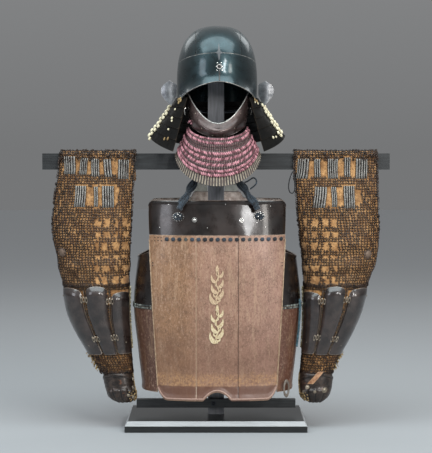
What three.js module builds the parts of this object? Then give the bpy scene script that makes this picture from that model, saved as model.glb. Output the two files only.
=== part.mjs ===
// Samurai armour - helmet, half mask, cuirass and a pair of armoured sleeves - on its T-shaped
// display stand. Millimetres, +Z up, the armour faces -Y. The origin is the centre of the
// underside of the stand's base.
import * as THREE from "three";
import { ConvexGeometry } from "three/addons/geometries/ConvexGeometry.js";

// ---------------------------------------------------------------- driving dimensions
const GAP = 0.3; // clearance between neighbouring pieces

// Stand: a plank, a square post, a bar for the sleeves and a low stay bar
const BASE = { width: 446, depth: 250, height: 27, chamferRun: 8, chamferDrop: 12 };
const POST = { side: 40, top: 904 };
const BAR = { width: 859, front: -40, back: -20, bottom: 640, top: 680 };
const LOWER_BAR = { width: 396, bottom: 47, top: 68 };
const HEAD_BLOCK = { radius: 58, shoulder: 960, crown: 989.5 };

// Helmet bowl: a superellipsoid above its widest level, a straight wall below it
const HELMET = { x: 2, turn: 0.042 };
const BOWL = { halfWidth: 100, halfLength: 120, centreY: -10, widest: 838, crown: 994, power: 2.75 };
const BOWL_WALL = 2;
const BRIM = { centre: 853, temple: 812, templeAngle: 60 };
const TOP_PLATE_HALF = 54; // half width of the plate that runs front to back
const SEAM = { middle: 898, swing: 25 }; // upper edge of the brow and waist plates
const BROW_ANGLE = 78; // the brow plate ends here on both sides, in degrees from the front

// Neck guard: five lames on one flared surface
const NECK = {
  lames: 5, wall: 1.5, lap: 0.045, step: 2.9, topZ: 816,
  topAngle: 48, bottomAngle: 41,
  bottomHalf: 166, bottomFront: 115, bottomBack: 168,
  frontZ: 684, sideZ: 722, backZ: 696,
};
const EAR = { inner: 101, outer: 139, bottom: 797, top: 858, y: -46, thick: 2.5, turn: 0.25 };

// Half mask: rows from the lower edge to the rim, curves symmetrical about the chin
const MASK = { x: 5, wall: 2.2 };
const MASK_ROWS = [
  { zChin: 719, zCheek: 747, half: 67, yChin: -119, yCheek: -58 },
  { zChin: 731, zCheek: 776, half: 74, yChin: -135, yCheek: -50 },
  { zChin: 743, zCheek: 808, half: 77, yChin: -129, yCheek: -46 },
  { zChin: 752, zCheek: 831, half: 76, yChin: -124, yCheek: -44 },
];

// Throat guard: four laced lames and a plain bottom one, a fan that hangs from the mask
const THROAT = {
  wall: 1.5, step: 2.2, lap: 2,
  edges: [717, 693, 669, 643, 624, 601], // height of the lame edges below the chin
  endTop: { half: 69, z: 745, y: -62 },
  endBottom: { half: 102, z: 678, y: -74 },
  frontTop: -130, frontBottom: -166,
};

// Cuirass: one section for each level, squarish ovals about the centre line Y = centreY
const CUIRASS = { x: 3, centreY: -12, square: 2.6, wall: 2 };
const CUIRASS_LEVELS = [
  { z: 76, half: 185, front: 119, back: 111, panel: 145 },
  { z: 120, half: 189, front: 114, back: 112, panel: 147 },
  { z: 200, half: 198, front: 119, back: 118, panel: 152 },
  { z: 306, half: 208, front: 125, back: 124, panel: 158 },
  { z: 400, half: 200, front: 127, back: 125, panel: 163 },
  { z: 480, half: 188, front: 120, back: 122, panel: 167 },
  { z: 582, half: 176, front: 98, back: 116, panel: 168 },
];
const CHEST = { bottom: 482, top: 565, corner: 12, nape: 16, napeHalf: 58, napeRun: 10 };
const PANEL_SEAM = 51; // half width of the middle plate, front and back
const HEM = { z: 78, notchRise: 21, notchHalf: 34, cornerRise: 26, cornerRun: 24 };
const SIDE = { bottom: 96, top: 306, armholeEdge: 440, armholeLow: 427 };

// Shoulder straps over the bar, on a path of (y, z) from front end to back end
const STRAP = { x: 39.5, width: 33, wall: 3 };
const STRAP_PATH = [
  [-41.5, 632], [-41.5, 660], [-41.5, 680.5], [-38.5, 683], [-20, 684], [4, 682], [34, 673],
  [70, 648], [97, 610], [107, 582], [108, 548],
];

// Sleeves: distances from the middle plane to the outer and inner edge of each sleeve,
// foremost point, depth of the oval and how far it wraps round, from its front, in degrees
const SLEEVE_WALL = 3;
const SLEEVE_ROWS = [
  { z: 356, leftOut: 379, leftIn: 216, rightOut: 376, rightIn: 218, front: -94, deep: 60, wrap: 118 },
  { z: 400, leftOut: 391, leftIn: 215, rightOut: 392, rightIn: 214, front: -88, deep: 54, wrap: 112 },
  { z: 441, leftOut: 399, leftIn: 214, rightOut: 400, rightIn: 210, front: -82, deep: 46, wrap: 106 },
  { z: 491, leftOut: 405, leftIn: 212, rightOut: 403, rightIn: 206, front: -74, deep: 36, wrap: 99 },
  { z: 550, leftOut: 400, leftIn: 209, rightOut: 400, rightIn: 202, front: -65, deep: 24, wrap: 93 },
  { z: 600, leftOut: 394, leftIn: 206, rightOut: 398, rightIn: 198, front: -57, deep: 13, wrap: 90 },
  { z: 640, leftOut: 388, leftIn: 203, rightOut: 397, rightIn: 195, front: -50, deep: 5.5, wrap: 90 },
  { z: 680.5, leftOut: 384, leftIn: 200, rightOut: 397, rightIn: 193, front: -48.5, deep: 4, wrap: 90 },
];
const SLEEVE_FOLD = [[-41, 686], [-19, 686], [-15.5, 681], [-15.5, 645], [-15.5, 612]];
const FOREARM_ROWS = [
  { z: 140, leftOut: 288, leftIn: 207, rightOut: 291, rightIn: 210, front: -72, deep: 32 },
  { z: 168, leftOut: 304, leftIn: 209, rightOut: 302, rightIn: 212, front: -77, deep: 37 },
  { z: 191, leftOut: 319, leftIn: 211, rightOut: 313, rightIn: 214, front: -81, deep: 42 },
  { z: 248, leftOut: 350, leftIn: 215, rightOut: 341, rightIn: 218, front: -88, deep: 51 },
  { z: 292, leftOut: 369, leftIn: 217, rightOut: 360, rightIn: 219, front: -92, deep: 57 },
  { z: 356, leftOut: 379, leftIn: 216, rightOut: 376, rightIn: 218, front: -94, deep: 60 },
];
const ELBOW_Z = 356;
const WRIST_Z = 191;
const CUFF_Z = 140;
const ARM_PLATE = { wall: 1.8, lift: 1, bottom: 187 };
const ARM_PLATES = [{ name: "outer", top: 350 }, { name: "middle", top: 355 }, { name: "inner", top: 340 }];
// Edges of the forearm plates, in degrees round the sleeve from its front, outer side negative: the
// outer edge, the two seams between the plates and the inner edge, at the top and at the bottom
const ARM_EDGES = [
  { top: -84, bottom: -84 }, { top: -20, bottom: -14 }, { top: 25, bottom: 23 }, { top: 80, bottom: 80 },
];
const ARM_SEAM = { gap: 1.9, flare: 2.4 }; // half of a seam's gap, and how much it opens at the top
const HAND_WALL = 2;
const HAND_ROWS = [
  { z: 66, leftOut: 246, leftIn: 206, rightOut: 263, rightIn: 227, front: -70, deep: 22, wrap: 90 },
  { z: 74, leftOut: 265, leftIn: 199, rightOut: 277, rightIn: 215, front: -74, deep: 26, wrap: 92 },
  { z: 92, leftOut: 273, leftIn: 200, rightOut: 286, rightIn: 208, front: -77, deep: 30, wrap: 96 },
  { z: 115, leftOut: 279, leftIn: 205, rightOut: 290, rightIn: 207, front: -76, deep: 31, wrap: 98 },
  { z: 139, leftOut: 281, leftIn: 209, rightOut: 289, rightIn: 209, front: -73, deep: 31, wrap: 98 },
];

// Cords: points of each route, and the diameter
const NECK_CORD = {
  diameter: 15,
  left: [[-47, -53, 638], [-51, -66, 618], [-60, -88, 598], [-72, -113, 577], [-83, -125, 560], [-89, -129, 545]],
  right: [[47, -53, 638], [53, -66, 616], [66, -88, 598], [80, -113, 577], [94, -125, 560], [101, -129, 545]],
};
const BOW = {
  diameter: 4,
  route: [
    [70, -104, 610], [76, -107, 612], [83, -111, 617], [91, -115, 621], [97, -118, 617], [98, -119, 609],
    [93, -118, 602], [87, -117, 597], [83, -115, 594],
  ],
};
const SIDE_CORD = {
  diameter: 6,
  route: [
    [206, -66, 322], [206.6, -68, 314], [206.8, -70, 305], [206.6, -71, 292], [205.8, -71, 276], [204.6, -71, 258],
    [203, -70, 240], [201, -69, 221], [199, -68, 204],
  ],
};
const SLEEVE_LOOP = {
  diameter: 3,
  route: [
    [193, -50, 638], [188, -50, 633], [183.5, -49.5, 622], [180, -49, 608], [179.5, -48.5, 594], [183, -48, 584],
    [189, -48, 582], [193.5, -48.5, 588], [194.5, -49.5, 602], [194, -50.5, 616], [192.5, -52, 628],
  ],
};
const MASK_TIE = {
  diameter: 6,
  route: [
    [-64, -50, 790], [-62, -36, 789], [-52, -8, 787], [-38, 17, 785], [-22, 26, 784], [2, 27, 784],
    [26, 26, 784], [43, 17, 785], [59, -8, 787], [72, -36, 789], [74, -50, 790],
  ],
};
const RING = { x: 173, y: -90, z: 103, radius: 18, wire: 1.9, squeeze: 0.5, turn: 0.85 };

// ---------------------------------------------------------------- finishes
const finish = (color, roughness, metalness) => new THREE.MeshStandardMaterial({ color, roughness, metalness });
const BLACK_LACQUER = finish(0x231c1a, 0.25, 0.1);
const HELMET_LACQUER = finish(0x1d2a2e, 0.2, 0.3);
const MASK_LACQUER = finish(0x5d4a48, 0.3, 0.2);
const SILVERED = finish(0xb9b6b2, 0.35, 0.8);
const NECK_LACQUER = finish(0x12130f, 0.35, 0.1);
const LACED = finish(0x9a6b70, 0.9, 0);
const LEATHER = finish(0x9a7763, 0.7, 0);
const SIDE_LEATHER = finish(0x6f4638, 0.6, 0);
const MAIL = finish(0x6b4c2d, 0.85, 0.2);
const ARM_PLATE_LACQUER = finish(0x4a4144, 0.35, 0.4);
const NAVY_SILK = finish(0x2f3a4e, 0.9, 0);
const TEAL_SILK = finish(0x35505a, 0.9, 0);
const BLACK_SILK = finish(0x17171a, 0.9, 0);
const HORN = finish(0xd8d2c4, 0.5, 0);
const DARK_WOOD = finish(0x4a4c4e, 0.6, 0);
const POST_WOOD = finish(0x77797d, 0.6, 0);

// ---------------------------------------------------------------- shared geometry
const { lerp, degToRad } = THREE.MathUtils;
const at = (x, y, z) => new THREE.Vector3(x, y, z);
const mirrored = (sign, point) => at(sign * point.x, point.y, point.z);

// count + 1 evenly spaced values
const spaced = (from, to, count) => Array.from({ length: count + 1 }, (_, i) => lerp(from, to, i / count));

// A table's columns at height z, on a smooth curve through its rows.
function level(table, z) {
  const last = table.length - 1;
  let k = 0;
  while (k < last - 1 && z > table[k + 1].z) k += 1;
  const [below, above] = [table[k], table[k + 1]];
  const span = above.z - below.z;
  const t = (z - below.z) / span;
  const slope = (i, column) => {
    const [a, b] = [table[Math.max(i - 1, 0)], table[Math.min(i + 1, last)]];
    return (b[column] - a[column]) / (b.z - a.z);
  };
  const value = (column) =>
    below[column] * (2 * t ** 3 - 3 * t ** 2 + 1) +
    above[column] * (3 * t ** 2 - 2 * t ** 3) +
    span * slope(k, column) * (t ** 3 - 2 * t ** 2 + t) +
    span * slope(k + 1, column) * (t ** 3 - t ** 2);
  return Object.fromEntries(Object.keys(below).map((column) => [column, value(column)]));
}

// A closed wall on a grid of points. Columns run counter-clockwise seen from above and rows run
// upwards, so that normals point out of the armour. The wall fills the space between the offsets
// `from` and `to` along those normals; an offset may depend on the share of the height.
function wall(rows, { from, to, ring = false }) {
  const height = rows.length;
  const width = rows[0].length;
  const column = (i) => (ring ? (i + width) % width : Math.min(Math.max(i, 0), width - 1));
  const point = (j, i) => rows[Math.min(Math.max(j, 0), height - 1)][column(i)];
  const positions = [];
  for (const offset of [to, from]) {
    for (let j = 0; j < height; j += 1) {
      const distance = typeof offset === "function" ? offset(j / (height - 1)) : offset;
      for (let i = 0; i < width; i += 1) {
        const across = point(j, i + 1).clone().sub(point(j, i - 1));
        const up = point(j + 1, i).clone().sub(point(j - 1, i));
        const moved = across.cross(up).normalize().multiplyScalar(distance).add(point(j, i));
        positions.push(moved.x, moved.y, moved.z);
      }
    }
  }
  const index = [];
  const quad = (a, b, c, d) => index.push(a, b, c, a, c, d);
  const outer = (j, i) => j * width + column(i);
  const inner = (j, i) => height * width + outer(j, i);
  const cells = ring ? width : width - 1;
  for (let i = 0; i < cells; i += 1) {
    for (let j = 0; j < height - 1; j += 1) {
      quad(outer(j, i), outer(j, i + 1), outer(j + 1, i + 1), outer(j + 1, i));
      quad(inner(j, i), inner(j + 1, i), inner(j + 1, i + 1), inner(j, i + 1));
    }
    quad(inner(0, i), inner(0, i + 1), outer(0, i + 1), outer(0, i));
    quad(outer(height - 1, i), outer(height - 1, i + 1), inner(height - 1, i + 1), inner(height - 1, i));
  }
  if (!ring) {
    for (let j = 0; j < height - 1; j += 1) {
      quad(inner(j, 0), outer(j, 0), outer(j + 1, 0), inner(j + 1, 0));
      quad(outer(j, width - 1), inner(j, width - 1), inner(j + 1, width - 1), outer(j + 1, width - 1));
    }
  }
  const geometry = new THREE.BufferGeometry();
  geometry.setAttribute("position", new THREE.Float32BufferAttribute(positions, 3));
  geometry.setIndex(index);
  geometry.computeVertexNormals();
  return geometry;
}

// A tube of eight sides along a route of points.
function tube(route, diameter, steps) {
  const section = new THREE.Shape();
  spaced(0, 2 * Math.PI, 8).slice(0, 8).forEach((angle, i) => {
    const [x, y] = [(Math.cos(angle) * diameter) / 2, (Math.sin(angle) * diameter) / 2];
    if (i === 0) section.moveTo(x, y);
    else section.lineTo(x, y);
  });
  section.closePath();
  const curve = new THREE.CatmullRomCurve3(route.map((p) => at(...p)), false, "centripetal");
  return new THREE.ExtrudeGeometry(section, { steps, extrudePath: curve });
}

const block = (low, high) =>
  new THREE.BoxGeometry(...high.map((v, i) => v - low[i])).translate(...high.map((v, i) => (v + low[i]) / 2));

function add(parent, name, geometry, material) {
  const mesh = new THREE.Mesh(geometry, material);
  mesh.name = name;
  parent.add(mesh);
  return mesh;
}

function group(parent, x = 0, turn = 0) {
  const made = new THREE.Group();
  made.position.x = x;
  made.rotation.z = turn;
  parent.add(made);
  return made;
}

const SIDES = [["left", -1], ["right", 1]];

// ---------------------------------------------------------------- stand
function buildStand(armour) {
  const stand = group(armour);
  const [w, d] = [BASE.width / 2, BASE.depth / 2];
  const corners = [];
  for (const [sx, sy] of [[-1, -1], [-1, 1], [1, -1], [1, 1]]) {
    corners.push(at(sx * w, sy * d, 0));
    corners.push(at(sx * w, sy * d, BASE.height - BASE.chamferDrop));
    corners.push(at(sx * (w - BASE.chamferRun), sy * (d - BASE.chamferRun), BASE.height));
  }
  add(stand, "stand_base", new ConvexGeometry(corners), DARK_WOOD);

  const half = POST.side / 2;
  add(stand, "stand_post", block([-half, -half, BASE.height + GAP], [half, half, POST.top]), POST_WOOD);
  const [front, back] = [BAR.front, BAR.back - GAP];
  const bar = BAR.width / 2;
  add(stand, "stand_crossbar", block([-bar, front, BAR.bottom], [bar, back, BAR.top]), DARK_WOOD);
  const low = LOWER_BAR.width / 2;
  add(stand, "stand_lower_bar", block([-low, front, LOWER_BAR.bottom], [low, back, LOWER_BAR.top]), DARK_WOOD);

  const { radius, shoulder, crown } = HEAD_BLOCK;
  const profile = [[0, POST.top + GAP], [radius, POST.top + GAP], [radius, shoulder]];
  const dome = spaced(0, 90, 4).slice(1).map(degToRad);
  dome.forEach((a) => profile.push([radius * Math.cos(a) ** 0.8, lerp(shoulder, crown, Math.sin(a))]));
  profile[profile.length - 1][0] = 0;
  const lathe = new THREE.LatheGeometry(profile.map(([r, z]) => new THREE.Vector2(r, z)), 16);
  add(stand, "stand_head_block", lathe.rotateX(Math.PI / 2).translate(0, BOWL.centreY, 0), POST_WOOD);
}

// ---------------------------------------------------------------- helmet
// Share of the bowl's widest outline at a height, and the height for a share.
function bowlShare(z) {
  const rise = Math.max(0, (z - BOWL.widest) / (BOWL.crown - BOWL.widest));
  return (1 - rise ** BOWL.power) ** (1 / BOWL.power);
}
function bowlHeight(share) {
  return lerp(BOWL.widest, BOWL.crown, (1 - Math.min(share, 1) ** BOWL.power) ** (1 / BOWL.power));
}
// A point of the bowl at an angle from the front, in degrees, and a height.
function bowlPoint(degrees, z) {
  const share = bowlShare(z);
  const a = degToRad(degrees);
  return at(BOWL.halfWidth * share * Math.sin(a), BOWL.centreY - BOWL.halfLength * share * Math.cos(a), z);
}
const seamZ = (degrees) => SEAM.middle + SEAM.swing * Math.cos(degToRad(degrees));
function brimZ(degrees) {
  const away = Math.min(Math.abs(degrees) / BRIM.templeAngle, 1);
  return lerp(BRIM.centre, BRIM.temple, away ** 1.6);
}

// Share of the widest outline where a line at `across` half widths meets the brow or waist seam.
function shareAtSeam(across, rear) {
  let share = 1;
  for (let round = 0; round < 5; round += 1) {
    const degrees = THREE.MathUtils.radToDeg(Math.asin(across / share));
    share = bowlShare(seamZ(rear ? 180 - degrees : degrees) + 2 * GAP);
  }
  return share;
}

function buildHelmet(armour) {
  const helmet = group(armour, HELMET.x, HELMET.turn);
  const skin = { from: -BOWL_WALL, to: 0 };
  const band = (from, to, count, bottom) =>
    spaced(0, 1, 3).map((v) =>
      spaced(from, to, count).map((a) => bowlPoint(a, lerp(bottom(a), seamZ(a) - GAP, v))));
  add(helmet, "helmet_brow_plate", wall(band(-BROW_ANGLE, BROW_ANGLE, 16, brimZ), skin), HELMET_LACQUER);
  const waistEnd = BROW_ANGLE + 0.4;
  const waist = band(waistEnd, 360 - waistEnd, 18, () => BRIM.temple);
  add(helmet, "helmet_waist_plate", wall(waist, skin), HELMET_LACQUER);

  // The top plate: lines at a constant distance from the middle, from seam to seam over the crown
  const topRows = spaced(-1, 1, 12).map((v) =>
    spaced(-TOP_PLATE_HALF, TOP_PLATE_HALF, 6).map((x) => {
      const across = x / BOWL.halfWidth;
      const share = shareAtSeam(across, v > 0);
      const along = Math.sqrt(share ** 2 - across ** 2) * Math.sin((v * Math.PI) / 2);
      return at(x, BOWL.centreY + BOWL.halfLength * along, bowlHeight(Math.hypot(across, along)));
    }));
  add(helmet, "helmet_top_plate", wall(topRows, skin), HELMET_LACQUER);

  // A side plate: from the seam up to the edge of the top plate
  const edge = TOP_PLATE_HALF + 6 * GAP;
  const firstAngle = 37;
  for (const [side, sign] of SIDES) {
    const columns = spaced(firstAngle, 180 - firstAngle, 12);
    const rows = spaced(0, 1, 4).map((v) =>
      columns.map((a) => {
        const top = bowlHeight(edge / (BOWL.halfWidth * Math.sin(degToRad(a))));
        return mirrored(sign, bowlPoint(a, lerp(seamZ(a) + GAP, Math.max(top, seamZ(a) + 2), v)));
      }));
    if (sign < 0) rows.forEach((row) => row.reverse());
    add(helmet, `helmet_side_${side}`, wall(rows, skin), HELMET_LACQUER);
  }
  buildNeckGuard(helmet);
  buildEars(helmet);
}

// A point of the neck guard's flared surface: `drop` goes from 0 at the bowl to 1 at the lowest
// edge, `turn` from -1 at the left front edge, round the back, to 1 at the right front edge.
function neckPoint(drop, turn) {
  const degrees = 180 - (180 - lerp(NECK.topAngle, NECK.bottomAngle, drop)) * Math.abs(turn);
  const a = degToRad(degrees);
  const half = lerp(BOWL.halfWidth + 1, NECK.bottomHalf, drop ** 1.15);
  const front = lerp(BOWL.halfLength + 1, NECK.bottomFront, drop);
  const back = lerp(BOWL.halfLength + 1, NECK.bottomBack, drop ** 1.15);
  const depth = degrees < 90 ? front : back;
  const low = degrees < 90
    ? lerp(NECK.sideZ, NECK.frontZ, Math.cos(a) ** 1.3 / Math.cos(degToRad(NECK.bottomAngle)) ** 1.3)
    : lerp(NECK.sideZ, NECK.backZ, Math.cos(a) ** 2);
  return at(Math.sign(turn) * half * Math.sin(a), BOWL.centreY - depth * Math.cos(a), lerp(NECK.topZ, low, drop));
}

function buildNeckGuard(helmet) {
  for (let k = 0; k < NECK.lames; k += 1) {
    const bottom = (k + 1) / NECK.lames;
    const top = k / NECK.lames - (k > 0 ? NECK.lap : 0);
    const rows = [bottom, top].map((drop) => spaced(1, -1, 24).map((t) => neckPoint(drop, t)));
    const lift = (share) => GAP + 0.1 + NECK.step * share;
    const skin = { from: lift, to: (share) => lift(share) + NECK.wall };
    add(helmet, `neck_guard_lame_${k + 1}`, wall(rows, skin), NECK_LACQUER);
  }
}

// The turned-back ears: an outline with a round top that tapers to a point
function buildEars(helmet) {
  const { inner, outer, bottom, top } = EAR;
  const [w, h] = [outer - inner, top - bottom];
  for (const [side, sign] of SIDES) {
    const outline = new THREE.Shape();
    outline.moveTo(sign * 0.36 * w, 0);
    outline.bezierCurveTo(sign * 0.6 * w, 0.14 * h, sign * w, 0.34 * h, sign * w, 0.62 * h);
    outline.bezierCurveTo(sign * w, 0.88 * h, sign * 0.76 * w, h, sign * 0.48 * w, h);
    outline.bezierCurveTo(sign * 0.2 * w, h, 0, 0.94 * h, 0, 0.78 * h);
    outline.lineTo(0, 0.42 * h);
    outline.closePath();
    const ear = new THREE.ExtrudeGeometry(outline, { depth: EAR.thick, bevelEnabled: false, curveSegments: 6 });
    const mesh = add(helmet, `helmet_ear_${side}`, ear.rotateX(Math.PI / 2), SILVERED);
    mesh.position.set(sign * inner, EAR.y, bottom);
    mesh.rotation.z = sign * EAR.turn;
  }
}

// ---------------------------------------------------------------- mask and throat guard
function buildMask(armour) {
  const face = group(armour, MASK.x);
  const rows = MASK_ROWS.map((row) =>
    spaced(-90, 90, 16).map(degToRad).map((a) =>
      at(
        row.half * Math.sin(a),
        lerp(row.yCheek, row.yChin, Math.cos(a)),
        lerp(row.zChin, row.zCheek, Math.sin(a) ** 2),
      )));
  add(face, "mask", wall(rows, { from: -MASK.wall, to: 0 }), MASK_LACQUER);
  add(armour, "mask_tie_cord", tube(MASK_TIE.route, MASK_TIE.diameter, 18), NAVY_SILK);

  // A point of the fan: `share` from 0 at its upper edge to 1 at its lowest
  const fan = (share, z, a) => {
    const half = lerp(THROAT.endTop.half, THROAT.endBottom.half, share);
    const endZ = lerp(THROAT.endTop.z, THROAT.endBottom.z, share);
    const endY = lerp(THROAT.endTop.y, THROAT.endBottom.y, share);
    const frontY = lerp(THROAT.frontTop, THROAT.frontBottom, share);
    return at(half * Math.sin(a), lerp(endY, frontY, Math.cos(a)), lerp(endZ, z, Math.cos(a)));
  };
  const { edges } = THROAT;
  const reach = edges[0] - edges[edges.length - 1];
  edges.slice(1).forEach((low, k) => {
    const high = edges[k] + (k > 0 ? THROAT.lap : 0);
    const lame = [low, high].map((z) =>
      spaced(-90, 90, 16).map(degToRad).map((a) => fan((edges[0] - z) / reach, z, a)));
    const lift = (share) => GAP + THROAT.step * share;
    const skin = { from: lift, to: (share) => lift(share) + THROAT.wall };
    add(face, `throat_guard_lame_${k + 1}`, wall(lame, skin), LACED);
  });
}

// ---------------------------------------------------------------- cuirass
// How far the oval lies before or behind the centre line at a distance x from the middle
function ovalDepth(x, half, depth) {
  return depth * (1 - Math.abs(x / half) ** CUIRASS.square) ** (1 / CUIRASS.square);
}
function cuirassFace(x, z, rear) {
  const row = level(CUIRASS_LEVELS, z);
  const depth = ovalDepth(x, row.half, rear ? row.back : row.front);
  return at(rear ? -x : x, CUIRASS.centreY + (rear ? depth : -depth), z);
}
// A point of the side wall: `turn` from -1 at the front panel's edge to 1 at the back panel's
function cuirassSide(turn, z, clear) {
  const row = level(CUIRASS_LEVELS, z);
  const power = CUIRASS.square / 2;
  const start = Math.asin(((row.panel + clear) / row.half) ** power);
  const a = lerp(start, Math.PI - start, (turn + 1) / 2);
  const depth = Math.cos(a) > 0 ? row.front : row.back;
  return at(
    row.half * Math.sin(a) ** (1 / power),
    CUIRASS.centreY - Math.sign(Math.cos(a)) * depth * Math.abs(Math.cos(a)) ** (1 / power),
    z,
  );
}
// Lower edge of the front and back: a small notch in the middle and rounded outer corners
function hemZ(x) {
  const half = CUIRASS_LEVELS[0].panel;
  const notch = HEM.notchRise * Math.max(0, 1 - (x / HEM.notchHalf) ** 2);
  const corner = HEM.cornerRise * Math.max(0, (Math.abs(x) - half + HEM.cornerRun) / HEM.cornerRun) ** 2;
  return HEM.z + notch + Math.min(corner, HEM.cornerRise);
}

// Upper edge of the chest plate and the back's top plate: rounded corners, a raised nape behind
function chestTop(x, panel, rear) {
  const fromCorner = Math.max(0, CHEST.corner - (panel - Math.abs(x)));
  const dip = CHEST.corner - Math.sqrt(Math.max(0, CHEST.corner ** 2 - fromCorner ** 2));
  const rise = THREE.MathUtils.smoothstep(CHEST.napeHalf + CHEST.napeRun - Math.abs(x), 0, CHEST.napeRun);
  return CHEST.top - dip + (rear ? CHEST.nape * rise : 0);
}

function buildCuirass(armour) {
  const body = group(armour, CUIRASS.x);
  const skin = { from: -CUIRASS.wall, to: 0 };
  const plates = [["left", -1, -PANEL_SEAM], ["centre", -PANEL_SEAM, PANEL_SEAM], ["right", PANEL_SEAM, 1]];
  for (const rear of [false, true]) {
    const where = rear ? "back" : "front";
    for (const [name, from, to] of plates) {
      const rows = spaced(0, 1, 7).map((v) => {
        const panel = level(CUIRASS_LEVELS, lerp(HEM.z, CHEST.bottom, v)).panel;
        const first = from === -1 ? -panel : from + GAP;
        const last = to === 1 ? panel : to - GAP;
        return spaced(first, last, 7).map((x) => cuirassFace(x, lerp(hemZ(x), CHEST.bottom - 2 * GAP, v), rear));
      });
      add(body, `cuirass_${where}_${name}`, wall(rows, skin), LEATHER);
    }
    const columns = [-1, -0.985, -0.95, -0.8, -0.6, ...spaced(-0.41, 0.41, 7), 0.6, 0.8, 0.95, 0.985, 1];
    const chest = spaced(0, 1, 3).map((v) =>
      columns.map((u) => {
        const { panel } = level(CUIRASS_LEVELS, lerp(CHEST.bottom, CHEST.top, v));
        return cuirassFace(u * panel, lerp(CHEST.bottom, chestTop(u * panel, panel, rear), v), rear);
      }));
    add(body, rear ? "cuirass_back_top" : "cuirass_chest_plate", wall(chest, skin), BLACK_LACQUER);
  }
  for (const [side, sign] of SIDES) {
    const turns = spaced(-1, 1, 10);
    const low = spaced(0, 1, 4).map((v) =>
      turns.map((t) => mirrored(sign, cuirassSide(t, lerp(SIDE.bottom, SIDE.top - GAP, v), 2 * GAP))));
    const high = spaced(0, 1, 3).map((v) =>
      turns.map((t) => {
        const edge = lerp(SIDE.armholeLow, SIDE.armholeEdge, t ** 2);
        return mirrored(sign, cuirassSide(t, lerp(SIDE.top + GAP, edge, v), 2 * GAP));
      }));
    if (sign < 0) [...low, ...high].forEach((row) => row.reverse());
    add(body, `cuirass_side_${side}`, wall(low, skin), SIDE_LEATHER);
    add(body, `cuirass_underarm_${side}`, wall(high, skin), BLACK_LACQUER);
  }
}

// ---------------------------------------------------------------- straps, cords and fittings
function buildHangings(armour) {
  for (const [side, sign] of SIDES) {
    const middle = sign * STRAP.x;
    const rows = STRAP_PATH.map(([y, z]) =>
      spaced(-STRAP.width / 2, STRAP.width / 2, 2).map((x) => at(middle + x, y, z)));
    add(armour, `shoulder_strap_${side}`, wall(rows, { from: 0, to: STRAP.wall }), BLACK_LACQUER);
    add(armour, `neck_cord_${side}`, tube(NECK_CORD[side], NECK_CORD.diameter, 10), NAVY_SILK);
  }
  add(armour, "neck_cord_bow", tube(BOW.route, BOW.diameter, 12), NAVY_SILK);
  add(armour, "side_cord", tube(SIDE_CORD.route, SIDE_CORD.diameter, 10), TEAL_SILK);
  add(armour, "sleeve_loop", tube(SLEEVE_LOOP.route, SLEEVE_LOOP.diameter, 18), BLACK_SILK);

  const ring = add(armour, "side_ring", new THREE.TorusGeometry(RING.radius, RING.wire, 6, 20), HORN);
  ring.geometry.rotateX(Math.PI / 2).scale(RING.squeeze, 1, 1);
  ring.position.set(RING.x, RING.y, RING.z);
  ring.rotation.z = RING.turn;
}

// ---------------------------------------------------------------- sleeves
// A point of a sleeve's oval at an angle from its front, in degrees, positive towards +X
function sleevePoint(row, side, degrees) {
  const sign = side === "left" ? -1 : 1;
  const middle = (sign * (row[`${side}Out`] + row[`${side}In`])) / 2;
  const half = (row[`${side}Out`] - row[`${side}In`]) / 2;
  const a = degToRad(degrees);
  return at(middle + half * Math.sin(a), row.front + row.deep * (1 - Math.cos(a)), row.z);
}

function buildSleeves(armour) {
  for (const [side, sign] of SIDES) {
    // Upper sleeve: open at the back, folded over the bar with a short flap behind it
    const upper = [...spaced(ELBOW_Z + 1, 640, 6), 662, 680.5].map((z) => {
      const row = level(SLEEVE_ROWS, z);
      return spaced(-row.wrap, row.wrap, 10).map((a) => sleevePoint(row, side, a));
    });
    const top = upper[upper.length - 1];
    SLEEVE_FOLD.forEach(([y, z]) => upper.push(top.map((p) => at(p.x, y, z))));
    add(armour, `sleeve_${side}_upper`, wall(upper, { from: -SLEEVE_WALL, to: 0 }), MAIL);

    const tubeRows = (from, to, count) =>
      spaced(from, to, count).map((z) => {
        const row = level(FOREARM_ROWS, z);
        return spaced(-180, 180, 20).slice(0, 20).map((a) => sleevePoint(row, side, a));
      });
    const skin = { from: -SLEEVE_WALL, to: 0, ring: true };
    add(armour, `sleeve_${side}_forearm`, wall(tubeRows(WRIST_Z, ELBOW_Z, 4), skin), MAIL);
    add(armour, `sleeve_${side}_wrist`, wall(tubeRows(CUFF_Z, WRIST_Z - 2 * GAP, 2), skin), MAIL);

    ARM_PLATES.forEach((plate, k) => {
      const edge = (index, v) => lerp(ARM_EDGES[index].bottom, ARM_EDGES[index].top, v);
      const rows = spaced(0, 1, 5).map((v) => {
        const gap = ARM_SEAM.gap + ARM_SEAM.flare * v ** 3;
        const from = edge(k, v) + (k > 0 ? gap : 0);
        const to = edge(k + 1, v) - (k < 2 ? gap : 0);
        const ends = [-sign * from, -sign * to].sort((a, b) => a - b);
        return spaced(0, 1, 6).map((u) => {
          const arch = 7 * (2 * u - 1) ** 2;
          const z = lerp(ARM_PLATE.bottom, plate.top - arch, v);
          return sleevePoint(level(FOREARM_ROWS, z), side, lerp(...ends, u));
        });
      });
      const cover = { from: ARM_PLATE.lift, to: ARM_PLATE.lift + ARM_PLATE.wall };
      add(armour, `arm_plate_${side}_${plate.name}`, wall(rows, cover), ARM_PLATE_LACQUER);
    });
    const hand = spaced(HAND_ROWS[0].z, HAND_ROWS[4].z, 6).map((z) => {
      const row = level(HAND_ROWS, z);
      return spaced(-row.wrap, row.wrap, 10).map((a) => sleevePoint(row, side, a));
    });
    add(armour, `hand_guard_${side}`, wall(hand, { from: -HAND_WALL, to: 0 }), ARM_PLATE_LACQUER);
  }
}

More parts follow.
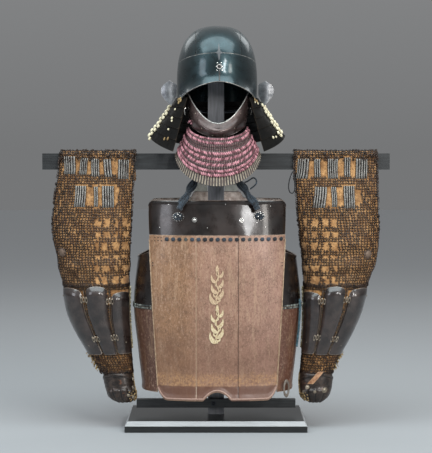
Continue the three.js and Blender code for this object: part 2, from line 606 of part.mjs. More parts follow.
// ---------------------------------------------------------------- the whole armour
const armour = new THREE.Group();
buildStand(armour);
buildHelmet(armour);
buildMask(armour);
buildCuirass(armour);
buildHangings(armour);
buildSleeves(armour);

export default armour;
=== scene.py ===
import math

import bpy
import numpy as np
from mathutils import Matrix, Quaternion, Vector


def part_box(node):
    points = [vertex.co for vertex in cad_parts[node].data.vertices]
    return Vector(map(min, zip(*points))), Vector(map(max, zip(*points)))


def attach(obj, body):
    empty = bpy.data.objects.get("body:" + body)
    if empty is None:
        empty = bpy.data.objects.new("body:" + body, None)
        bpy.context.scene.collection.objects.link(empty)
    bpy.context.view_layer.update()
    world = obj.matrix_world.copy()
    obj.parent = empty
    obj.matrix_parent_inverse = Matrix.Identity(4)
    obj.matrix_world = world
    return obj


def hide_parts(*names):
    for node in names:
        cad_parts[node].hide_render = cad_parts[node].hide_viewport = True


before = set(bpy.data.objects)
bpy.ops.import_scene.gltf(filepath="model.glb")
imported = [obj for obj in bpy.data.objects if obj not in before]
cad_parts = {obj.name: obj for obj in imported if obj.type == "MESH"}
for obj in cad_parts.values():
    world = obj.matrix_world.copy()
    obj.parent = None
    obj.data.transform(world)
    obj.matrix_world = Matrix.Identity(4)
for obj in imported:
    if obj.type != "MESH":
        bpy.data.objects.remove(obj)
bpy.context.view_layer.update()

# Samurai armour on its stand: the looks. Lengths are in millimetres, in the frame of the CAD model,
# until a mesh is made; the armour faces -Y. A grid is rows of points, from low to high, across each row.
MM = 0.001
RNG = np.random.default_rng(11)
SHARP_EDGE = 38  # degrees between two faces where smooth shading breaks
SIDES = (("left", -1), ("right", 1))  # as seen from the front, with the sign of x
FACES = (("front", False), ("back", True))  # and whether it is the rear one


# ---------------------------------------------------------------- numbers and grids
def lerp(a, b, t):
    return a + (b - a) * t


def smooth(t):
    t = np.clip(t, 0, 1)
    return t * t * (3 - 2 * t)


def bump_at(value, middle, half):
    """1 at the middle, falling smoothly to 0 at half a width away."""
    return smooth(1 - np.abs(value - middle) / half)


def stack(x, y, z):
    return np.stack(np.broadcast_arrays(x, y, z), axis=-1).astype(float)


def level(table, z):
    """A table's columns at height z, on a smooth curve through its rows."""
    names, rows = table
    rows = np.asarray(rows, float)
    heights = rows[:, 0]
    last = len(rows) - 1
    k = int(np.clip(np.searchsorted(heights, z, side="left") - 1, 0, last - 1))
    span = heights[k + 1] - heights[k]
    t = (z - heights[k]) / span

    def slope(i):
        a, b = max(i - 1, 0), min(i + 1, last)
        return (rows[b] - rows[a]) / (heights[b] - heights[a])

    values = (
        rows[k] * (2 * t**3 - 3 * t**2 + 1)
        + rows[k + 1] * (3 * t**2 - 2 * t**3)
        + span * slope(k) * (t**3 - 2 * t**2 + t)
        + span * slope(k + 1) * (t**3 - t**2)
    )
    return dict(zip(names, values))


def directions(points, ring=False):
    """Across, up and outward unit vectors at each point of a grid."""
    if ring:
        across = np.roll(points, -1, 1) - np.roll(points, 1, 1)
    else:
        across = np.gradient(points, axis=1)
    up = np.gradient(points, axis=0)
    out = np.cross(across, up)
    return [v / np.maximum(np.linalg.norm(v, axis=-1, keepdims=True), 1e-9) for v in (across, up, out)]


def travelled(points, axis):
    """Distance along the grid's lines from their start, in millimetres."""
    steps = np.linalg.norm(np.diff(points, axis=axis), axis=-1)
    return np.concatenate([np.zeros_like(np.take(steps, [0], axis)), np.cumsum(steps, axis)], axis)


def cell_corners(index):
    """The four corners of every cell of a grid of point numbers."""
    return [index[:-1, :-1], index[:-1, 1:], index[1:, 1:], index[1:, :-1]]


def both_sides(values, shape):
    """Values on a grid, for both sides of its wall."""
    return np.tile(np.broadcast_to(values, shape).reshape(-1), 2)


def shell(points, outer=0.0, inner=-2.0, ring=False):
    """A closed wall on a grid: points, faces, and fields of mm from the nearest edge and of its two sides."""
    points = np.asarray(points, float)
    height, width = points.shape[:2]
    out = directions(points, ring)[2]
    layers = [points + out * np.broadcast_to(d, (height, width))[..., None] for d in (outer, inner)]
    verts = np.concatenate([layer.reshape(-1, 3) for layer in layers])
    index = np.arange(height * width).reshape(height, width)
    if ring:
        index = np.concatenate([index, index[:, :1]], 1)
    far = index + height * width
    strips = [cell_corners(index), cell_corners(far)[::-1]]
    strips.append([far[:1, :-1], far[:1, 1:], index[:1, 1:], index[:1, :-1]])
    strips.append([index[-1:, :-1], index[-1:, 1:], far[-1:, 1:], far[-1:, :-1]])
    if not ring:
        strips.append([far[:-1, :1], index[:-1, :1], index[1:, :1], far[1:, :1]])
        strips.append([index[:-1, -1:], far[:-1, -1:], far[1:, -1:], index[1:, -1:]])
    faces = np.concatenate([np.stack([c.reshape(-1) for c in s], 1) for s in strips])
    across, up = travelled(points, 1), travelled(points, 0)
    edge = np.minimum(up, up[-1:] - up)
    if not ring:
        edge = np.minimum(edge, np.minimum(across, across[:, -1:] - across))
    return verts, faces, {"edge": both_sides(edge, edge.shape), "side": np.repeat([1.0, 0.0], height * width)}


class Skin:
    """A fine grid of points on a surface, which gives a place and a frame anywhere on it."""

    def __init__(self, points):
        self.points = np.asarray(points, float)
        self.turned = directions(self.points)
        self.rise = travelled(self.points, 0)[:, self.points.shape[1] // 2]

    def mixed(self, grid, u, v):
        height, width = self.points.shape[:2]
        i, j = np.clip(u, 0, 1) * (width - 1), np.clip(v, 0, 1) * (height - 1)
        i0, j0 = np.minimum(i.astype(int), width - 2), np.minimum(j.astype(int), height - 2)
        fi, fj = (i - i0)[..., None], (j - j0)[..., None]
        low = lerp(grid[j0, i0], grid[j0, i0 + 1], fi)
        return lerp(low, lerp(grid[j0 + 1, i0], grid[j0 + 1, i0 + 1], fi), fj)

    def at(self, u, v, lift=0.0):
        """Places lifted off the skin, and frames whose rows are across, up and out."""
        u, v = np.broadcast_arrays(np.asarray(u, float), np.asarray(v, float))
        axes = [self.mixed(axis, u, v) for axis in self.turned]
        frames = np.stack([a / np.linalg.norm(a, axis=-1, keepdims=True) for a in axes], axis=-2)
        return self.mixed(self.points, u, v) + frames[..., 2, :] * np.asarray(lift)[..., None], frames

    def share(self, distance):
        """The v of a distance travelled up the middle."""
        return np.interp(distance, self.rise, np.linspace(0, 1, len(self.rise)))

    def find(self, x, z):
        """The u and v of the place seen at x and z from the front."""
        column = self.points[:, self.points.shape[1] // 2, 2]
        top = int(np.argmax(column)) + 1
        v = np.interp(z, column[:top], np.linspace(0, 1, len(column))[:top])
        shares = np.linspace(0, 1, self.points.shape[1])
        row = self.mixed(self.points, shares, np.full(shares.shape, float(v)))[:, 0]
        a, b = int(np.argmin(row)), int(np.argmax(row)) + 1
        return float(np.interp(x, row[a:b], shares[a:b])), float(v)


# ---------------------------------------------------------------- pieces
def piece(name, points, faces, material, replaces=(), slot=None, fields=None):
    """A mesh that rides on the armour. Its fields are numbers at each point, for its material to read."""
    mesh = bpy.data.meshes.new(name)
    faces = faces.tolist() if isinstance(faces, np.ndarray) else faces
    mesh.from_pydata((np.asarray(points) * MM).tolist(), [], faces)
    for field, values in (fields or {}).items():
        spread = np.array(np.broadcast_to(values, len(points)), np.float32)
        mesh.attributes.new(field, "FLOAT", "POINT").data.foreach_set("value", spread)
    mesh.materials.append(material)
    mesh.shade_smooth()
    mesh.set_sharp_from_angle(angle=math.radians(SHARP_EDGE))
    obj = bpy.data.objects.new(name, mesh)
    bpy.context.scene.collection.objects.link(obj)
    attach(obj, "root")
    if replaces:
        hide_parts(*([replaces] if isinstance(replaces, str) else replaces))
    return obj


def wall(name, grid, outer, inner, material, replaces=(), slot=None, ring=False, **more):
    """A piece that is a closed wall on a grid, with any more fields that its material reads."""
    points, faces, fields = shell(grid, outer, inner, ring)
    return piece(name, points, faces, material, replaces, slot, {**fields, **more})


def line_piece(name, route, diameter, sides, material, slot, tint=RNG.random, **more):
    """A piece that is a thin round line; tint is a function of the number of its points."""
    points, faces = tube(route, diameter, sides)
    return piece(name, points, faces, material, slot=slot, fields={"tint": tint(len(points)), **more})


def copies(template, origins, frames):
    """A template's points and faces at one or more origins, its x, y and z along the rows of each frame."""
    points, faces = template
    origins, frames = np.asarray(origins).reshape(-1, 3), np.asarray(frames).reshape(-1, 3, 3)
    moved = origins[:, None] + np.einsum("pk,nkj->npj", points, frames)
    shift = (np.arange(len(origins)) * len(points))[:, None, None]
    return moved.reshape(-1, 3), (faces[None] + shift).reshape(-1, faces.shape[1])


def spun(frames, angle, first, second):
    """Frames with their first axis turned towards their second, by one angle or one for each."""
    turned = frames.copy()
    c, s = [np.reshape(f(angle), (-1, 1)) for f in (np.cos, np.sin)]
    turned[:, first] = frames[:, first] * c + frames[:, second] * s
    turned[:, second] = frames[:, second] * c - frames[:, first] * s
    return turned


class Heap:
    """Many small shapes that become one piece. Each has a tint, a number that its material may read."""

    def __init__(self):
        self.parts, self.count = [], 0

    def put(self, points, faces, tints):
        self.parts.append((points, faces + self.count, tints))
        self.count += len(points)

    def add(self, template, origins, frames, tint=None):
        points, faces = copies(template, origins, frames)
        number = len(points) // len(template[0])
        tint = RNG.random(number) if tint is None else np.broadcast_to(tint, number)
        self.put(points, faces, np.repeat(tint, len(template[0])))

    def piece(self, name, material, **facts):
        points, faces, tints = (np.concatenate([part[k] for part in self.parts]) for k in range(3))
        return piece(name, points, faces, material, fields={"tint": tints}, **facts)


def ring_shape(radius, wire, around=10, sides=4, long=1.0):
    """A ring in the x-y plane, stretched along y."""
    turns = (np.arange(around) * math.tau / around, np.arange(sides) * math.tau / sides)
    a, b = np.meshgrid(*turns, indexing="ij")
    reach = radius + wire * np.cos(b)
    points = stack(reach * np.cos(a), reach * np.sin(a) * long, wire * np.sin(b)).reshape(-1, 3)
    i, j = np.meshgrid(np.arange(around), np.arange(sides), indexing="ij")
    corners = [(p % around) * sides + q % sides for p, q in ((i, j), (i + 1, j), (i + 1, j + 1), (i, j + 1))]
    return points, np.stack(corners, -1).reshape(-1, 4)


def pebble_shape(size, fine=3):
    """A ball of three sizes, made of the six faces of a cube that are pushed out round."""
    t = np.linspace(-1, 1, fine + 1)
    a, b = np.meshgrid(t, t, indexing="ij")
    points, faces = [], []
    for axis in range(3):
        for sign in (-1, 1):
            face = [None] * 3
            face[axis], face[(axis + 1) % 3], face[(axis + 2) % 3] = np.full_like(a, sign), a, b * sign
            grid = stack(*face).reshape(-1, 3)
            index = np.arange(len(grid)).reshape(fine + 1, fine + 1) + len(points) * len(grid)
            faces.append(np.stack(cell_corners(index.T), -1).transpose(1, 0, 2).reshape(-1, 4))
            points.append(grid)
    points = np.concatenate(points)
    points /= np.linalg.norm(points, axis=1, keepdims=True)
    return points * np.asarray(size) / 2, np.concatenate(faces)


def smooth_route(route, count):
    """A centripetal curve through the points of a route."""
    p = np.asarray(route, float)
    p = np.concatenate([[2 * p[0] - p[1]], p, [2 * p[-1] - p[-2]]])
    knots = np.concatenate([[0], np.cumsum(np.sqrt(np.linalg.norm(np.diff(p, axis=0), axis=1)))])
    made = []
    for t in np.linspace(knots[1], knots[-2], count):
        k = int(np.clip(np.searchsorted(knots, t) - 1, 1, len(p) - 3))
        t0, t1, t2, t3 = knots[k - 1 : k + 3]
        a1 = lerp(p[k - 1], p[k], (t - t0) / (t1 - t0))
        a2 = lerp(p[k], p[k + 1], (t - t1) / (t2 - t1))
        a3 = lerp(p[k + 1], p[k + 2], (t - t2) / (t3 - t2))
        b1, b2 = lerp(a1, a2, (t - t0) / (t2 - t0)), lerp(a2, a3, (t - t1) / (t3 - t1))
        made.append(lerp(b1, b2, (t - t1) / (t2 - t1)))
    return np.array(made)


def tube(route, diameter, sides=12, strands=0, pitch=20.0, depth=0.12):
    """A tube along a dense route, closed at its ends; strands twist round it in one turn for each pitch."""
    route = np.asarray(route, float)
    ahead = np.gradient(route, axis=0)
    ahead /= np.linalg.norm(ahead, axis=1, keepdims=True)
    side = np.cross(ahead[0], [0.3, 0.2, 1.0])
    a = np.arange(sides) * math.tau / sides
    rows, gone = [], 0.0
    for k, (point, d) in enumerate(zip(route, ahead)):
        side = side - d * (side @ d)
        side /= np.linalg.norm(side)
        gone += np.linalg.norm(point - route[max(k - 1, 0)])
        reach = np.full(sides, diameter / 2)
        if strands:
            reach *= 1 - depth * (1 - np.abs(np.cos(strands * (a / 2 + math.pi * gone / pitch))))
        other = np.cross(d, side)
        rows.append(point + np.outer(np.cos(a) * reach, side) + np.outer(np.sin(a) * reach, other))
    index = np.arange(len(rows) * sides).reshape(-1, sides)
    index = np.concatenate([index, index[:, :1]], 1)
    quads = np.stack(cell_corners(index), -1).reshape(-1, 4)
    faces = quads.tolist() + [index[0, :-1][::-1].tolist(), index[-1, :-1].tolist()]
    return np.array(rows).reshape(-1, 3), faces


# ---------------------------------------------------------------- materials
def rgb(code):
    parts = [int(code[i : i + 2], 16) / 255 for i in (1, 3, 5)]
    return (*[c / 12.92 if c <= 0.04045 else ((c + 0.055) / 1.055) ** 2.4 for c in parts], 1)


class Paint:
    """A material under construction. Feature sizes are in millimetres of the object."""

    def __init__(self, name):
        self.material = bpy.data.materials.new(name)
        self.material.use_nodes = True
        self.tree = self.material.node_tree
        self.tree.nodes.clear()
        self.shader = self.tree.nodes.new("ShaderNodeBsdfPrincipled")
        output = self.tree.nodes.new("ShaderNodeOutputMaterial")
        self.tree.links.new(self.shader.outputs[0], output.inputs[0])
        self.place = self.tree.nodes.new("ShaderNodeTexCoord").outputs["Object"]

    def node(self, kind, result=0, **inputs):
        """A node's output. Inputs are sockets by name, or by number as i0 and so on, or node settings."""
        made = self.tree.nodes.new("ShaderNode" + kind)
        for name in [n for n in inputs if hasattr(made, n)]:
            setattr(made, name, inputs.pop(name))
        for name, value in inputs.items():
            socket = made.inputs[int(name[1:])] if name[1:].isdigit() else made.inputs[name]
            if isinstance(value, bpy.types.NodeSocket):
                self.tree.links.new(value, socket)
            else:
                socket.default_value = value
        return made.outputs[result]

    def stretched(self, stretch):
        return self.node("VectorMath", operation="MULTIPLY", i0=self.place, i1=stretch)

    def noise(self, size, detail=3.0, rough=0.55, stretch=(1, 1, 1), twist=0.0):
        return self.node("TexNoise", Vector=self.stretched(stretch), Scale=1 / (size * MM), Detail=detail,
                         Roughness=rough, Distortion=twist)

    def cracks(self, size, stretch):
        return self.node("TexVoronoi", feature="DISTANCE_TO_EDGE", Vector=self.stretched(stretch),
                         Scale=1 / (size * MM))

    def field(self, name):
        return self.node("Attribute", result=2, attribute_name=name)

    def along(self, axis):
        return self.node("SeparateXYZ", result="XYZ".index(axis), i0=self.place)

    def math(self, operation, a, b=0.0):
        return self.node("Math", operation=operation, i0=a, i1=b)

    def band(self, value, low, high, to_low=0.0, to_high=1.0):
        made = self.tree.nodes.new("ShaderNodeMapRange")
        made.interpolation_type = "SMOOTHSTEP"
        for name, v in zip(("From Min", "From Max", "To Min", "To Max"), (low, high, to_low, to_high)):
            made.inputs[name].default_value = v
        self.tree.links.new(value, made.inputs["Value"])
        return made.outputs[0]

    def mix(self, share, a, b):
        made = self.tree.nodes.new("ShaderNodeMix")
        made.data_type = "RGBA"
        for socket, value in zip((made.inputs[0], made.inputs[6], made.inputs[7]), (share, a, b)):
            if isinstance(value, bpy.types.NodeSocket):
                self.tree.links.new(value, socket)
            elif isinstance(value, str):
                socket.default_value = rgb(value)
            else:
                socket.default_value = value
        return made.outputs[2]

    def patched(self, under, over, grain, low, high, *shares):
        """One colour over another as a noise of this grain goes from low to high, with a share at each."""
        return self.mix(self.band(self.noise(*grain), low, high, *shares), under, over)

    def relief(self, height, depth, strength=1.0, under=None):
        """Bump of a depth in millimetres."""
        made = self.tree.nodes.new("ShaderNodeBump")
        made.inputs["Strength"].default_value = strength
        made.inputs["Distance"].default_value = depth * MM
        self.tree.links.new(height, made.inputs["Height"])
        if under is not None:
            self.tree.links.new(under, made.inputs["Normal"])
        return made.outputs[0]

    def done(self, color, roughness, normal=None, metallic=0.0, **constants):
        main = {"Base Color": color, "Roughness": roughness, "Metallic": metallic, "Normal": normal}
        for name, value in main.items():
            if value is None:
                continue
            if isinstance(value, bpy.types.NodeSocket):
                self.tree.links.new(value, self.shader.inputs[name])
            else:
                self.shader.inputs[name].default_value = rgb(value) if isinstance(value, str) else value
        for name, value in constants.items():
            self.shader.inputs[name.replace("_", " ").title().replace("Ior", "IOR")].default_value = value
        return self.material


def lacquer(name, deep, light, worn, edge_wear_and_sheen=2.0, rough=0.2, metallic=0.0, cloud=60, coat=0.6, scuffs=0.5,
            **constants):
    """Lacquer over iron or leather: cloudy colour, paler edges that are partly wear and partly a painted
    highlight along the rims, fine scratches.
    """
    p = Paint(name)
    body = p.patched(deep, light, (cloud, 4, 0.6), 0.35, 0.7)
    body = p.patched(body, worn, (9, 6, 0.75, (1, 1, 3)), 0.66, 0.78, 0, scuffs)
    if edge_wear_and_sheen:
        # paler edges: partly wear, partly a painted highlight along the rims
        reach = p.math("ADD", p.field("edge"), p.math("MULTIPLY", p.noise(5, 4, 0.7), edge_wear_and_sheen * 1.6))
        body = p.mix(p.band(reach, edge_wear_and_sheen * 0.9, edge_wear_and_sheen * 1.7, 0.85, 0), body, worn)
    glossy = p.band(p.noise(24, 5, 0.6), 0.3, 0.7, rough * 0.75, rough * 1.5)
    normal = p.relief(p.noise(3, 5, 0.7), 0.12, 0.35)
    return p.done(body, glossy, normal, metallic, coat_weight=coat, coat_roughness=0.12, **constants)


def leather(name, left, middle, right, worn, bands=False):
    """Crackled lacquered leather, with a colour for each side of the front and, near the hem, a darker lower
    part and worn bands.
    """
    p = Paint(name)
    across = p.along("X")
    body = p.mix(p.band(across, -0.09, -0.02), left, middle)
    body = p.mix(p.band(across, 0.03, 0.14), body, right)
    body = p.patched(body, "#5d4030", (60, 4, 0.6), 0.4, 0.7, 0, 0.4)
    body = p.patched(body, worn, (9, 5, 0.65, (1, 1, 0.1)), 0.45, 0.75, 0, 0.45)
    grain = p.noise(4.2, 5, 0.8, (1, 1, 0.6))
    body = p.mix(p.band(grain, 0.36, 0.5, 0.5, 0), body, "#5f4331")
    body = p.mix(p.band(grain, 0.52, 0.66, 0, 0.6), body, "#c0a08a")
    crackle = p.cracks(3.6, (1, 1, 0.6))
    cracked = p.math("MULTIPLY", p.band(crackle, 0.0, 0.12, 0.5, 0), p.band(p.noise(22, 4, 0.6), 0.46, 0.62))
    body = p.mix(cracked, body, "#3f2a20")
    if bands:
        height = p.along("Z")
        # darker towards the bottom, from 300 mm down
        body = p.mix(p.band(height, 0.16, 0.3, 0.42, 0), body, "#6d4936")
        wander = p.math("MULTIPLY", p.math("SUBTRACT", p.noise(14, 5, 0.75), 0.5), 0.045)
        ragged = p.math("ADD", height, wander)
        rubbed = p.math("MULTIPLY", p.band(ragged, 0.108, 0.118), p.band(ragged, 0.132, 0.152, 1, 0))
        patchy = p.band(p.noise(5.5, 5, 0.8), 0.44, 0.6, 0.05, 0.7)
        body = p.mix(p.math("MULTIPLY", rubbed, patchy), body, "#bb8f64")
        waved = p.math("ADD", height, p.math("MULTIPLY", p.noise(8, 3, 0.6), 0.004))
        body = p.mix(p.band(waved, 0.114, 0.117, 0.8, 0), body, "#5c3a2c")
    # paler edges: partly wear, partly a painted highlight along the rims; dark at the right seam
    reach = p.math("ADD", p.field("edge"), p.math("MULTIPLY", p.noise(6, 4, 0.7), 2.2))
    at_right_seam = p.math("MULTIPLY", p.band(across, 0.03, 0.035), p.band(across, 0.08, 0.085, 1, 0))
    body = p.mix(p.band(reach, 1.2, 2.6, 0.7, 0), body, p.mix(at_right_seam, worn, "#4a3226"))
    glossy = p.band(p.noise(14, 5, 0.65), 0.3, 0.75, 0.34, 0.6)
    normal = p.relief(crackle, 0.35, 0.5, p.relief(grain, 0.5, 0.6))
    return p.done(body, glossy, normal, coat_weight=0.2, coat_roughness=0.3)


def silk(name, dark, light, pitch=3.0):
    """Braided or twisted silk: slanting strands along a cord."""
    p = Paint(name)
    strands = p.noise(pitch * 0.55, 3, 0.6, (1, 1, 0.45), 0.4)
    body = p.mix(p.band(strands, 0.35, 0.65), dark, light)
    body = p.patched(body, dark, (14, 3, 0.6), 0.4, 0.7, 0, 0.45)
    normal = p.relief(strands, 0.5, 0.8)
    return p.done(body, 0.75, normal, sheen_weight=0.4, sheen_roughness=0.4)


def tinted(name, dark, light, rough, metallic=0.0, rust=None, **constants):
    """Small things whose shade follows the tint of each."""
    p = Paint(name)
    own, grain = p.math("MULTIPLY", p.field("tint"), 0.7), p.math("MULTIPLY", p.noise(4, 3, 0.6), 0.4)
    body = p.mix(p.band(p.math("ADD", own, grain), 0.1, 0.95), dark, light)
    if rust:
        body = p.patched(body, rust, (20, 4, 0.65), 0.45, 0.65, 0, 0.7)
    return p.done(body, rough, p.relief(p.noise(1.5, 2, 0.6), 0.1, 0.4), metallic, **constants)


def cloth(name, dark, light, stain):
    """Coarse hemp: a fine plain weave, faded and stained."""
    p = Paint(name)
    thread = p.math("MULTIPLY", p.noise(0.9, 2, 0.5, (1, 1, 0.3)), p.noise(0.9, 2, 0.5, (0.3, 0.3, 1)))
    body = p.patched(dark, light, (18, 4, 0.6), 0.35, 0.65)
    body = p.patched(body, stain, (32, 5, 0.65), 0.52, 0.7, 0, 0.75)
    body = p.patched(body, stain, (5, 4, 0.75), 0.48, 0.6, 0, 0.6)
    body = p.mix(p.band(thread, 0.15, 0.4, 0.25, 0), body, stain)
    return p.done(body, 0.92, p.relief(thread, 0.4, 0.7), sheen_weight=0.15, sheen_roughness=0.5)


def ribbed_lame(name):
    """Laced lames: fine pale ribs with dark gaps; all but the last lame dark red under the lacing."""
    p = Paint(name)
    rib = p.field("rib")
    light = p.mix(p.field("last"), "#86706a", "#948775")
    body = p.mix(p.band(rib, 0.5, 0.95), "#110a09", light)
    body = p.patched(body, "#3f2d29", (9, 4, 0.65), 0.42, 0.62, 0, 0.65)
    body = p.mix(p.band(p.field("last"), 0, 1, 0.4, 0), body, "#35141b")
    return p.done(body, 0.6, p.relief(p.noise(1.2, 3, 0.7), 0.2, 0.6), sheen_weight=0.1, sheen_roughness=0.5)


def two_faced(name, deep, light, inside, inside_worn):
    """Lacquer that is dark outside and pale inside."""
    p = Paint(name)
    outer = p.patched(deep, light, (50, 4, 0.6), 0.35, 0.7)
    inner = p.patched(inside, inside_worn, (14, 5, 0.65), 0.35, 0.7)
    body = p.mix(p.band(p.field("side"), 0.4, 0.6), inner, outer)
    rough = p.band(p.field("side"), 0.4, 0.6, 0.6, 0.25)
    return p.done(body, rough, p.relief(p.noise(2.5, 4, 0.7), 0.2, 0.5), coat_weight=0.2, coat_roughness=0.2)


def splint_steel(name):
    """Fluted silvered iron: bright ribs with painted shade in the grooves between them, and some rust."""
    p = Paint(name)
    # painted shade in the grooves between the ribs
    body = p.mix(p.band(p.field("rib"), 0.35, 0.95), "#0b0908", "#8b8984")
    body = p.patched(body, "#4a3c34", (11, 5, 0.65), 0.46, 0.66, 0, 0.65)
    return p.done(body, 0.42, p.relief(p.noise(4, 3, 0.6), 0.15, 0.3), 0.6)


def fluted_lacquer(name, deep, light, worn):
    """Brown lacquer with painted shade in its grooves, and rubbed, rusty patches."""
    p = Paint(name)
    body = p.patched(deep, light, (14, 5, 0.65), 0.35, 0.68)
    body = p.patched(body, worn, (5, 5, 0.75), 0.58, 0.72, 0, 0.7)
    body = p.patched(body, "#7a4a30", (17, 4, 0.6), 0.6, 0.7, 0, 0.55)
    # painted shade in the grooves between the finger plates, under the arch and on the turned-in shoulder
    body = p.mix(p.band(p.field("groove"), 0.2, 0.8, 0, 0.92), body, "#0d0908")
    normal = p.relief(p.noise(3, 4, 0.7), 0.3, 0.5)
    return p.done(body, 0.38, normal, 0.3, coat_weight=0.3, coat_roughness=0.2)


def painted_wood(name, dark, light, rough=0.4, chamfer_highlight=None, grain=(0.06, 1, 1)):
    """Painted wood with fine grain; on a chamfer, a painted highlight: a lighter band between two heights."""
    p = Paint(name)
    lines = p.noise(3.5, 5, 0.6, grain, 0.3)
    body = p.mix(p.band(lines, 0.3, 0.7), dark, light)
    if chamfer_highlight:
        low, high, bright = chamfer_highlight
        height = p.along("Z")
        above, below = p.band(height, low - 0.0004, low + 0.0004), p.band(height, high - 0.0006, high, 1, 0)
        # the chamfer's lighter band is a painted highlight
        lit = p.math("MULTIPLY", above, below)
        body = p.mix(p.math("MULTIPLY", lit, p.band(lines, 0.25, 0.6, 0.75, 1.0)), body, bright)
    return p.done(body, rough, p.relief(lines, 0.25, 0.5), coat_weight=0.15, coat_roughness=0.3)


BLACK = lacquer("black_lacquer", "#17110f", "#2c211d", "#8d8078", 1.2, 0.3, 0.25, 70, 0.5, 0.3)
HELMET = lacquer("helmet_lacquer", "#090c0d", "#141a1b", "#8d8984", 0.0, 0.3, 0.1, 60, 0.55, 0.55,
                 specular_ior_level=0.9, specular_tint=rgb("#a8d6e2"))
MASK = lacquer("mask_lacquer", "#3d302d", "#695855", "#a08f89", 1.2, 0.28, 0.6, 40, 0.3, 0.5)
SILVER = lacquer("silvered_iron", "#5e6064", "#96989b", "#bcbcba", 0.6, 0.42, 0.7, 26, 0.1, 0.3)
NECK = lacquer("neck_lacquer", "#050403", "#0f0c09", "#332c24", 0.8, 0.5, 0.0, 40, 0.0, 0.25,
               specular_ior_level=0.15)
ARM = lacquer("arm_lacquer", "#211917", "#3d322e", "#9a8c80", 1.2, 0.34, 0.25, 30, 1.0, 0.5)
FRONT = leather("front_leather", "#987253", "#9f7a66", "#a57f6e", "#c4a588", bands=True)
SIDE = leather("side_leather", "#543326", "#57352a", "#613a2b", "#a5886a")
WORN_LINE = tinted("worn_line", "#8f8d88", "#dedcd6", 0.35, 0.6)
PALE_RIM = tinted("pale_rim", "#7d5f52", "#a98a7b", 0.45)
RIM_HIGHLIGHT = tinted("rim_highlight", "#2f2622", "#8d7f76", 0.4)
CREAM = tinted("cream_silk", "#b5a67c", "#efe6c8", 0.85, sheen_weight=0.2)
PINK = tinted("pink_silk", "#531f2a", "#d796a0", 0.85, sheen_weight=0.2)
MAROON = tinted("maroon_silk", "#2a0c12", "#5c2630", 0.85)
NAVY = silk("navy_silk", "#0a0d12", "#36434f", 4.5)
TEAL = silk("teal_silk", "#1b333c", "#527480", 4.0)
SOOT = silk("black_silk", "#0d0d0f", "#26262b")
IRON = tinted("mail_iron", "#0e0a08", "#44342a", 0.4, 0.3, "#3a2416")
LINK = tinted("plate_link", "#6d6258", "#bdb09c", 0.35, 0.7)
STUD = tinted("stud", "#b0aca6", "#ece9e4", 0.25, 0.85)
# the screws' own dark colour, and painted shade for holes
SCREW_AND_HOLE_SHADE = tinted("screw_and_hole_shade", "#17191d", "#3a3f47", 0.4, 0.3)
HEMP = cloth("hemp", "#9e7143", "#cf9f69", "#664427")
HORN = tinted("horn_ring", "#3a302b", "#857a70", 0.4)
HELMET_LINE = tinted("helmet_line", "#55575a", "#b2afa8", 0.4, 0.4)
OLD_GOLD = tinted("old_lacing", "#6e5433", "#c2a878", 0.85)
PALE_EDGE = tinted("pale_edge", "#7d6350", "#c4aa8c", 0.6)
GREY_LACE = tinted("grey_lace", "#24282a", "#8d9088", 0.85)
DARK_KNOT = tinted("dark_knot", "#10151b", "#38424e", 0.75, sheen_weight=0.15)
MOTIF_FAINT = tinted("faint_motif", "#b2967a", "#d9bf9c", 0.55)
STRAP = two_faced("strap_leather", "#1b1614", "#332a26", "#e2e6df", "#c0c4bc")
BACK_TOP = two_faced("back_top_lacquer", "#17110f", "#2c211d", "#eadfd7", "#a8958a")
SPLINT = splint_steel("splint_steel")
ELBOW = tinted("elbow_disc", "#4c3c33", "#8d7867", 0.5, 0.3)
HAND = fluted_lacquer("hand_lacquer", "#1f1714", "#443831", "#7c6a5c")
STRIP = lacquer("worn_strip", "#8a5f42", "#b68a66", "#d2ab86", 1.2, 0.6, 0.0, 10, 0.1, 0.5)
HEMP_DARK = cloth("hemp_dark", "#9a6c3f", "#d09c62", "#5c3e24")
MOTIF = tinted("gold_motif", "#c3a880", "#efe0bb", 0.5, 0.1)
RIBBED = ribbed_lame("ribbed_lame")
STAND_DARK = painted_wood("stand_dark", "#1c1d1e", "#313334", 0.42)
# a painted highlight on the chamfer of the base
STAND_BASE = painted_wood("stand_base", "#131414", "#222424", 0.32, (0.0152, 0.0268, "#a9abac"))
STAND_GREY = painted_wood("stand_grey", "#6f7176", "#8b8d92", 0.5, grain=(1, 1, 0.06))


# ---------------------------------------------------------------- camera, floor and lights
# Metres and degrees; the lens and the sensor in millimetres
VIEW = {"distance": 3.845, "height": 0.6886, "pitch": 2.85, "lens": 122.2, "sensor": 36, "far": 100}


def build_camera():
    data = bpy.data.cameras.new("camera")
    data.lens, data.sensor_width = VIEW["lens"], VIEW["sensor"]
    data.clip_end = VIEW["far"]
    camera = bpy.data.objects.new("camera", data)
    camera.location = (0, -VIEW["distance"], VIEW["height"])
    camera.rotation_euler = (math.radians(90 - VIEW["pitch"]), 0, 0)
    bpy.context.scene.collection.objects.link(camera)
    bpy.context.scene.camera = camera


# Area lights: name, place, what each looks at, width and height, roll in degrees, watts and colour
LIGHTS = (
    ("ceiling", (0.0, -0.95, 2.75), (0, -0.1, 0.85), (4.4, 1.5), 0, 88, "#e4f2f6"),
    ("key", (2.35, -2.55, 1.30), (0, 0, 0.5), (0.6, 1.3), 0, 28, "#fffaf4"),
    ("slanted", (1.42, -3.25, 1.95), (0, 0, 0.5), (0.42, 1.2), -38, 42, "#ffffff"),
    ("fill_left", (-2.7, -2.2, 1.5), (0, 0, 0.5), (1.2, 1.6), 0, 26, "#f3f6ff"),
    ("back_right", (2.0, 2.3, 2.6), (0, 0, 0.6), (1.4, 1.4), 0, 11, "#ffffff"),
    ("back_left", (-2.0, 2.3, 2.6), (0, 0, 0.6), (1.4, 1.4), 0, 9, "#ffffff"),
)
FLOOR = {"radius": 14.0, "sides": 96, "z": -0.0005, "colour": "#a4a6a8"}
SKY = {"horizon": 0.185, "zenith": 0.62, "colour": "#fbfdff"}


